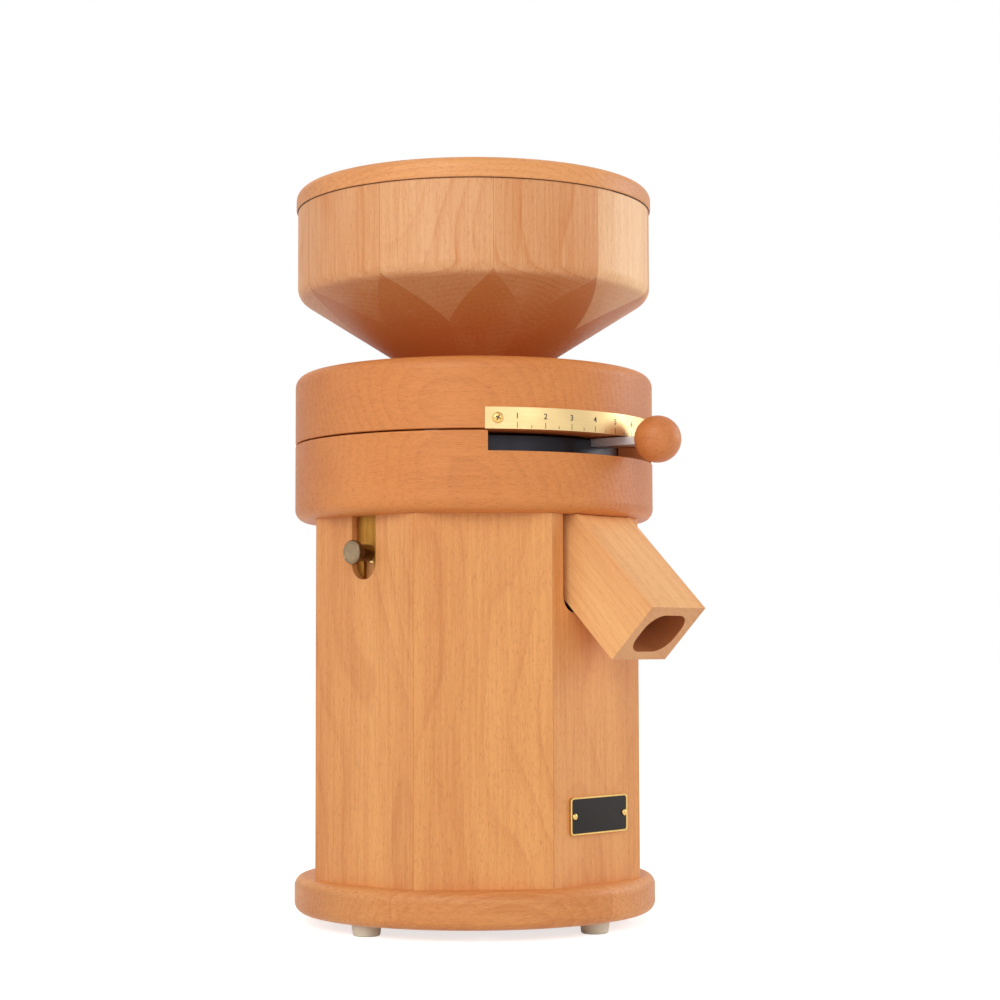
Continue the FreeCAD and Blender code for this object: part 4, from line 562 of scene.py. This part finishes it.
def spun(profile, origin, axis, segments=64, teeth=0):
    """Loops about an axis from the radius and height of each, knurled where teeth are asked for."""
    up, first, second = square_to(axis)
    loops = []
    for radius, height in profile:
        loop = []
        for i in range(segments):
            angle = 2 * math.pi * i / segments
            reach = radius
            if teeth and radius > KNURL_FROM:
                reach -= KNURL_DEPTH * (0.5 + 0.5 * math.cos(angle * teeth))
            side = first * math.cos(angle) + second * math.sin(angle)
            loop.append(Vector(origin) + up * height + side * reach)
        loops.append(loop)
    return loops


def rounded(half_width, half_height, corner, forward):
    """A rounded rectangle of the nameplate, so far in front of its back."""
    loop = []
    for right, up, start in ((1, 1, 0), (-1, 1, 90), (-1, -1, 180), (1, -1, 270)):
        for k in range(7):
            angle = math.radians(start + 15 * k)
            x = right * (half_width - corner) + corner * math.cos(angle)
            z = up * (half_height - corner) + corner * math.sin(angle)
            loop.append((x, -PLATE_BACK - forward, PLATE_LEVEL + z))
    return loop


def knurled_head(side, sign):
    """A lock screw's head with its neck: straight knurling, a turned face and a shallow dish."""
    loops = spun(HEAD_PROFILE, (0, 0, LOCK_LEVEL / MM), (sign, 0, 0), 320, KNURL_TEETH)
    body, replaced = f"{side}_head", (f"{side}_lock_head",)
    # The head's brass is darkened as painted reflection
    new_piece(f"{side}_knurled_head", *bridged(loops), turned_brass_painted_reflection, body, "brass", replaced, 25)


for side, sign in (("left", -1), ("right", 1)):
    knurled_head(side, sign)

plate_frame = bridged([rounded(*row) for row in PLATE_FRAME])
new_piece("nameplate_frame", *plate_frame, brass, "root", "brass", ("nameplate",))
plate_face = bridged([rounded(*row) for row in PLATE_ENAMEL])
new_piece("nameplate_face", *plate_face, enamel, "root", "black_plate")
pin_places = [(x, -PLATE_BACK - PIN_SEAT, PLATE_LEVEL) for x in (-PIN_OFFSET, PIN_OFFSET)]
pin_heads = joined(bridged(spun(PIN_DOME, place, (0, -1, 0), 32)) for place in pin_places)
new_piece("nameplate_pin_heads", *pin_heads, brass, "root", "brass", ("nameplate_pins",))


def on_scale(angle, along, height, lift):
    """A point on the scale's face, so far along from an angle round the mill."""
    turn = math.radians(angle) + along / SCALE_FACE
    radius = SCALE_FACE + lift
    return (radius * math.sin(turn), -radius * math.cos(turn), SCALE_BOTTOM + height)


def tick(angle, low, high):
    """A bar across the scale."""
    corners = ((-TICK_HALF, low), (TICK_HALF, low), (TICK_HALF, high), (-TICK_HALF, high))
    return bridged([[on_scale(angle, *corner, lift) for corner in corners] for lift in TICK_LIFTS])


def digit(number, angle):
    """A figure of the built-in typeface, bent round the scale."""
    text = bpy.data.curves.new(f"figure_{number}", "FONT")
    text.body = str(number)
    text.size = DIGIT_HEIGHT / CAPITAL_SHARE
    text.align_x = "CENTER"
    text.resolution_u = 6
    text.extrude = DIGIT_LIFT
    text.offset = DIGIT_WEIGHT
    holder = bpy.data.objects.new(f"figure_{number}", text)
    bpy.context.scene.collection.objects.link(holder)
    flat = bpy.data.meshes.new_from_object(holder.evaluated_get(bpy.context.evaluated_depsgraph_get()))
    bpy.data.objects.remove(holder)
    foot = DIGIT_MIDDLE - DIGIT_HEIGHT / 2
    points = [on_scale(angle, vertex.co.x, foot + vertex.co.y, vertex.co.z) for vertex in flat.vertices]
    return points, [tuple(face.vertices) for face in flat.polygons]


marks = []
for half_number in range(2, 2 * LAST_NUMBER + 1):
    whole = half_number % 2 == 0
    angle = (half_number / 2 - MIDDLE_NUMBER) * SCALE_STEP
    marks.append(tick(angle, TICK_FOOT, TICK_TOP if whole else HALF_TICK_TOP))
    if whole:
        marks.append(digit(half_number // 2, angle))
new_piece("scale_marks", *joined(marks), ink, "chamber_top", "black_plastic", smooth=20)


def cross_bar(origin, out, along, across):
    """One bar of a screw's cross, painted shade standing in for its recess, which follows the dome."""
    low, high = CROSS_FOOT, CROSS_LIFT
    corners = ((-CROSS_HALF, low), (CROSS_HALF, low), (CROSS_HALF, high), (-CROSS_HALF, high))
    loops = []
    for k in range(9):
        reach = CROSS_REACH * (k / 4 - 1)
        middle = origin + along * reach + out * (CROSS_CREST * math.sqrt(1 - (reach / CROSS_FALL) ** 2))
        loops.append([middle + across * aside + out * rise for aside, rise in corners])
    return bridged(loops)


def cross_screw(name, angle):
    """A domed screw head on the scale, with a dark cross of painted shade where its recess is."""
    turn = math.radians(angle)
    up = Vector((0, 0, 1))
    out = Vector((math.sin(turn), -math.cos(turn), 0))
    origin = out * SCALE_FACE + up * (SCALE_BOTTOM + SCALE_SCREW_HEIGHT)
    head = new_piece(name, *bridged(spun(SCREW_DOME, origin, out, 48)), brass, "chamber_top", "brass")
    first = out.cross(up).normalized() * math.cos(CROSS_TURN) + up * math.sin(CROSS_TURN)
    second = out.cross(first)
    cross = joined(cross_bar(origin, out, *ways) for ways in ((first, second), (second, first)))
    # Painted shade: the dark cross stands in for the shaded recess of the screw head
    new_piece(f"{name}_cross", *cross, painted_shade, "chamber_top", "black_plastic")
    return head


left_screw = cross_screw("scale_screw_left", -SCALE_SCREW_TURN)
cross_screw("scale_screw_right", SCALE_SCREW_TURN)
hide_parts("scale_screws")

# Painted shade: a dark band in the seam under the lid, where the groove is in shade
seam_foot, seam_top = SEAM_LEVEL - SEAM_HEIGHT / 2, SEAM_LEVEL + SEAM_HEIGHT / 2
seam_back = SEAM_RADIUS - SEAM_DEPTH
seam_profile = [
    (seam_back, seam_foot), (SEAM_RADIUS, seam_foot), (SEAM_RADIUS, seam_top), (seam_back, seam_top),
]
seam_shade_line = bridged(spun(seam_profile, (0, 0, 0), (0, 0, 1), 256), capped=False)
new_piece("lid_seam_painted_shade", *seam_shade_line, painted_shade, "hopper", "beech_hopper")

# Widths of the edges that are broken
soft_edges = {"spout": 0.7, "lever_bar": 0.3, "scale_plate": 0.2, "lock_straps": 0.25}
for name, width in soft_edges.items():
    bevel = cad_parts[name].modifiers.new("soft_edges", "BEVEL")
    bevel.width = width * MM
    bevel.segments = 3
    bevel.limit_method = "ANGLE"
    bevel.angle_limit = math.radians(40)


# Floor, light and camera
def emitter(name, strength):
    """A pale surface that shows white to the camera and keeps the object's shadow."""
    g = Graph(name)
    paths = g.add("LightPath").outputs
    seen = g.math("ADD", paths["Is Camera Ray"], paths["Is Glossy Ray"], clamp=True)
    seen = g.math("ADD", seen, paths["Is Transmission Ray"], clamp=True)
    plain = g.add("BsdfDiffuse", {"Color": (0.86, 0.86, 0.86, 1.0)}).outputs[0]
    glow = g.math("MULTIPLY", seen, strength)
    bright = g.add("Emission", {"Color": (1.0, 1.0, 1.0, 1.0), "Strength": glow}).outputs[0]
    shown = g.add("AddShader", {0: plain, 1: bright}).outputs[0]
    g.add("OutputMaterial", {"Surface": shown})
    return g.material


FLOOR_REACH = 12.0
FLOOR_GLOW = 0.70
floor_corners = [(FLOOR_REACH * x, FLOOR_REACH * y, 0) for x, y in ((-1, -1), (1, -1), (1, 1), (-1, 1))]
floor_mesh = bpy.data.meshes.new("floor")
floor_mesh.from_pydata(floor_corners, [], [(0, 1, 2, 3)])
floor = bpy.data.objects.new("floor", floor_mesh)
bpy.context.scene.collection.objects.link(floor)
floor_mesh.materials.append(emitter("pale_floor", FLOOR_GLOW))

SKY_LIGHT = 0.40
world = bpy.data.worlds.new("studio")
bpy.context.scene.world = world
world.use_nodes = True
tree = world.node_tree
tree.nodes.clear()
paths = tree.nodes.new("ShaderNodeLightPath").outputs
seen = paths["Is Camera Ray"]
for kind in ("Is Glossy Ray", "Is Transmission Ray"):
    larger = tree.nodes.new("ShaderNodeMath")
    larger.operation = "MAXIMUM"
    tree.links.new(seen, larger.inputs[0])
    tree.links.new(paths[kind], larger.inputs[1])
    seen = larger.outputs[0]
level = tree.nodes.new("ShaderNodeMapRange")
level.inputs["To Min"].default_value = SKY_LIGHT
level.inputs["To Max"].default_value = 1.0
tree.links.new(seen, level.inputs["Value"])
sky = tree.nodes.new("ShaderNodeBackground")
sky.inputs["Color"].default_value = (1.0, 1.0, 1.0, 1.0)
tree.links.new(level.outputs[0], sky.inputs["Strength"])
tree.links.new(sky.outputs[0], tree.nodes.new("ShaderNodeOutputWorld").inputs[0])

VIEW_TURN = math.radians(-48)
VIEW_BACK = Vector((math.sin(VIEW_TURN), -math.cos(VIEW_TURN), 0))
VIEW_RIGHT = Vector((math.cos(VIEW_TURN), math.sin(VIEW_TURN), 0))
UP = Vector((0, 0, 1))
TARGET = Vector((0, 0, 0.18))


def softbox(name, across, back, height, size, power):
    """A square lamp placed to the right of and in front of the object as the camera sees it."""
    lamp = bpy.data.lights.new(name, "AREA")
    lamp.shape = "SQUARE"
    lamp.size = size
    lamp.energy = power
    holder = bpy.data.objects.new(name, lamp)
    bpy.context.scene.collection.objects.link(holder)
    holder.location = VIEW_RIGHT * across + VIEW_BACK * back + UP * height
    holder.rotation_mode = "QUATERNION"
    holder.rotation_quaternion = (TARGET - holder.location).to_track_quat("-Z", "Y")


softbox("key", -0.7, 1.7, 1.3, 1.4, 21)
softbox("left", -1.6, 0.3, 0.6, 1.0, 3)
softbox("fill", 1.0, 1.7, 0.5, 1.4, 6)
softbox("rim", 1.6, -0.5, 0.7, 0.8, 10)

# The camera fitted to the photo: metres from the axis and above the floor, and angles in radians
DISTANCE = 1.0553
EYE_HEIGHT = 0.13115
FOCAL_LENGTH = 77.05
PAN, TILT, ROLL = 0.0121, 0.0701, -0.003
ahead = -VIEW_BACK * math.cos(PAN) + VIEW_RIGHT * math.sin(PAN)
right = VIEW_RIGHT * math.cos(PAN) + VIEW_BACK * math.sin(PAN)
forward = ahead * math.cos(TILT) + UP * math.sin(TILT)
upward = UP * math.cos(TILT) - ahead * math.sin(TILT)
rolled_right = right * math.cos(ROLL) + upward * math.sin(ROLL)
rolled_up = upward * math.cos(ROLL) - right * math.sin(ROLL)
lens = bpy.data.cameras.new("camera")
lens.lens = FOCAL_LENGTH
lens.sensor_width = 36.0
lens.clip_start = 0.05
lens.clip_end = 60.0
camera = bpy.data.objects.new("camera", lens)
bpy.context.scene.collection.objects.link(camera)
facing = Matrix((rolled_right, rolled_up, -forward)).transposed().to_4x4()
camera.matrix_world = Matrix.Translation(VIEW_BACK * DISTANCE + UP * EYE_HEIGHT) @ facing
bpy.context.scene.camera = camera
bpy.context.scene.view_settings.view_transform = "Standard"
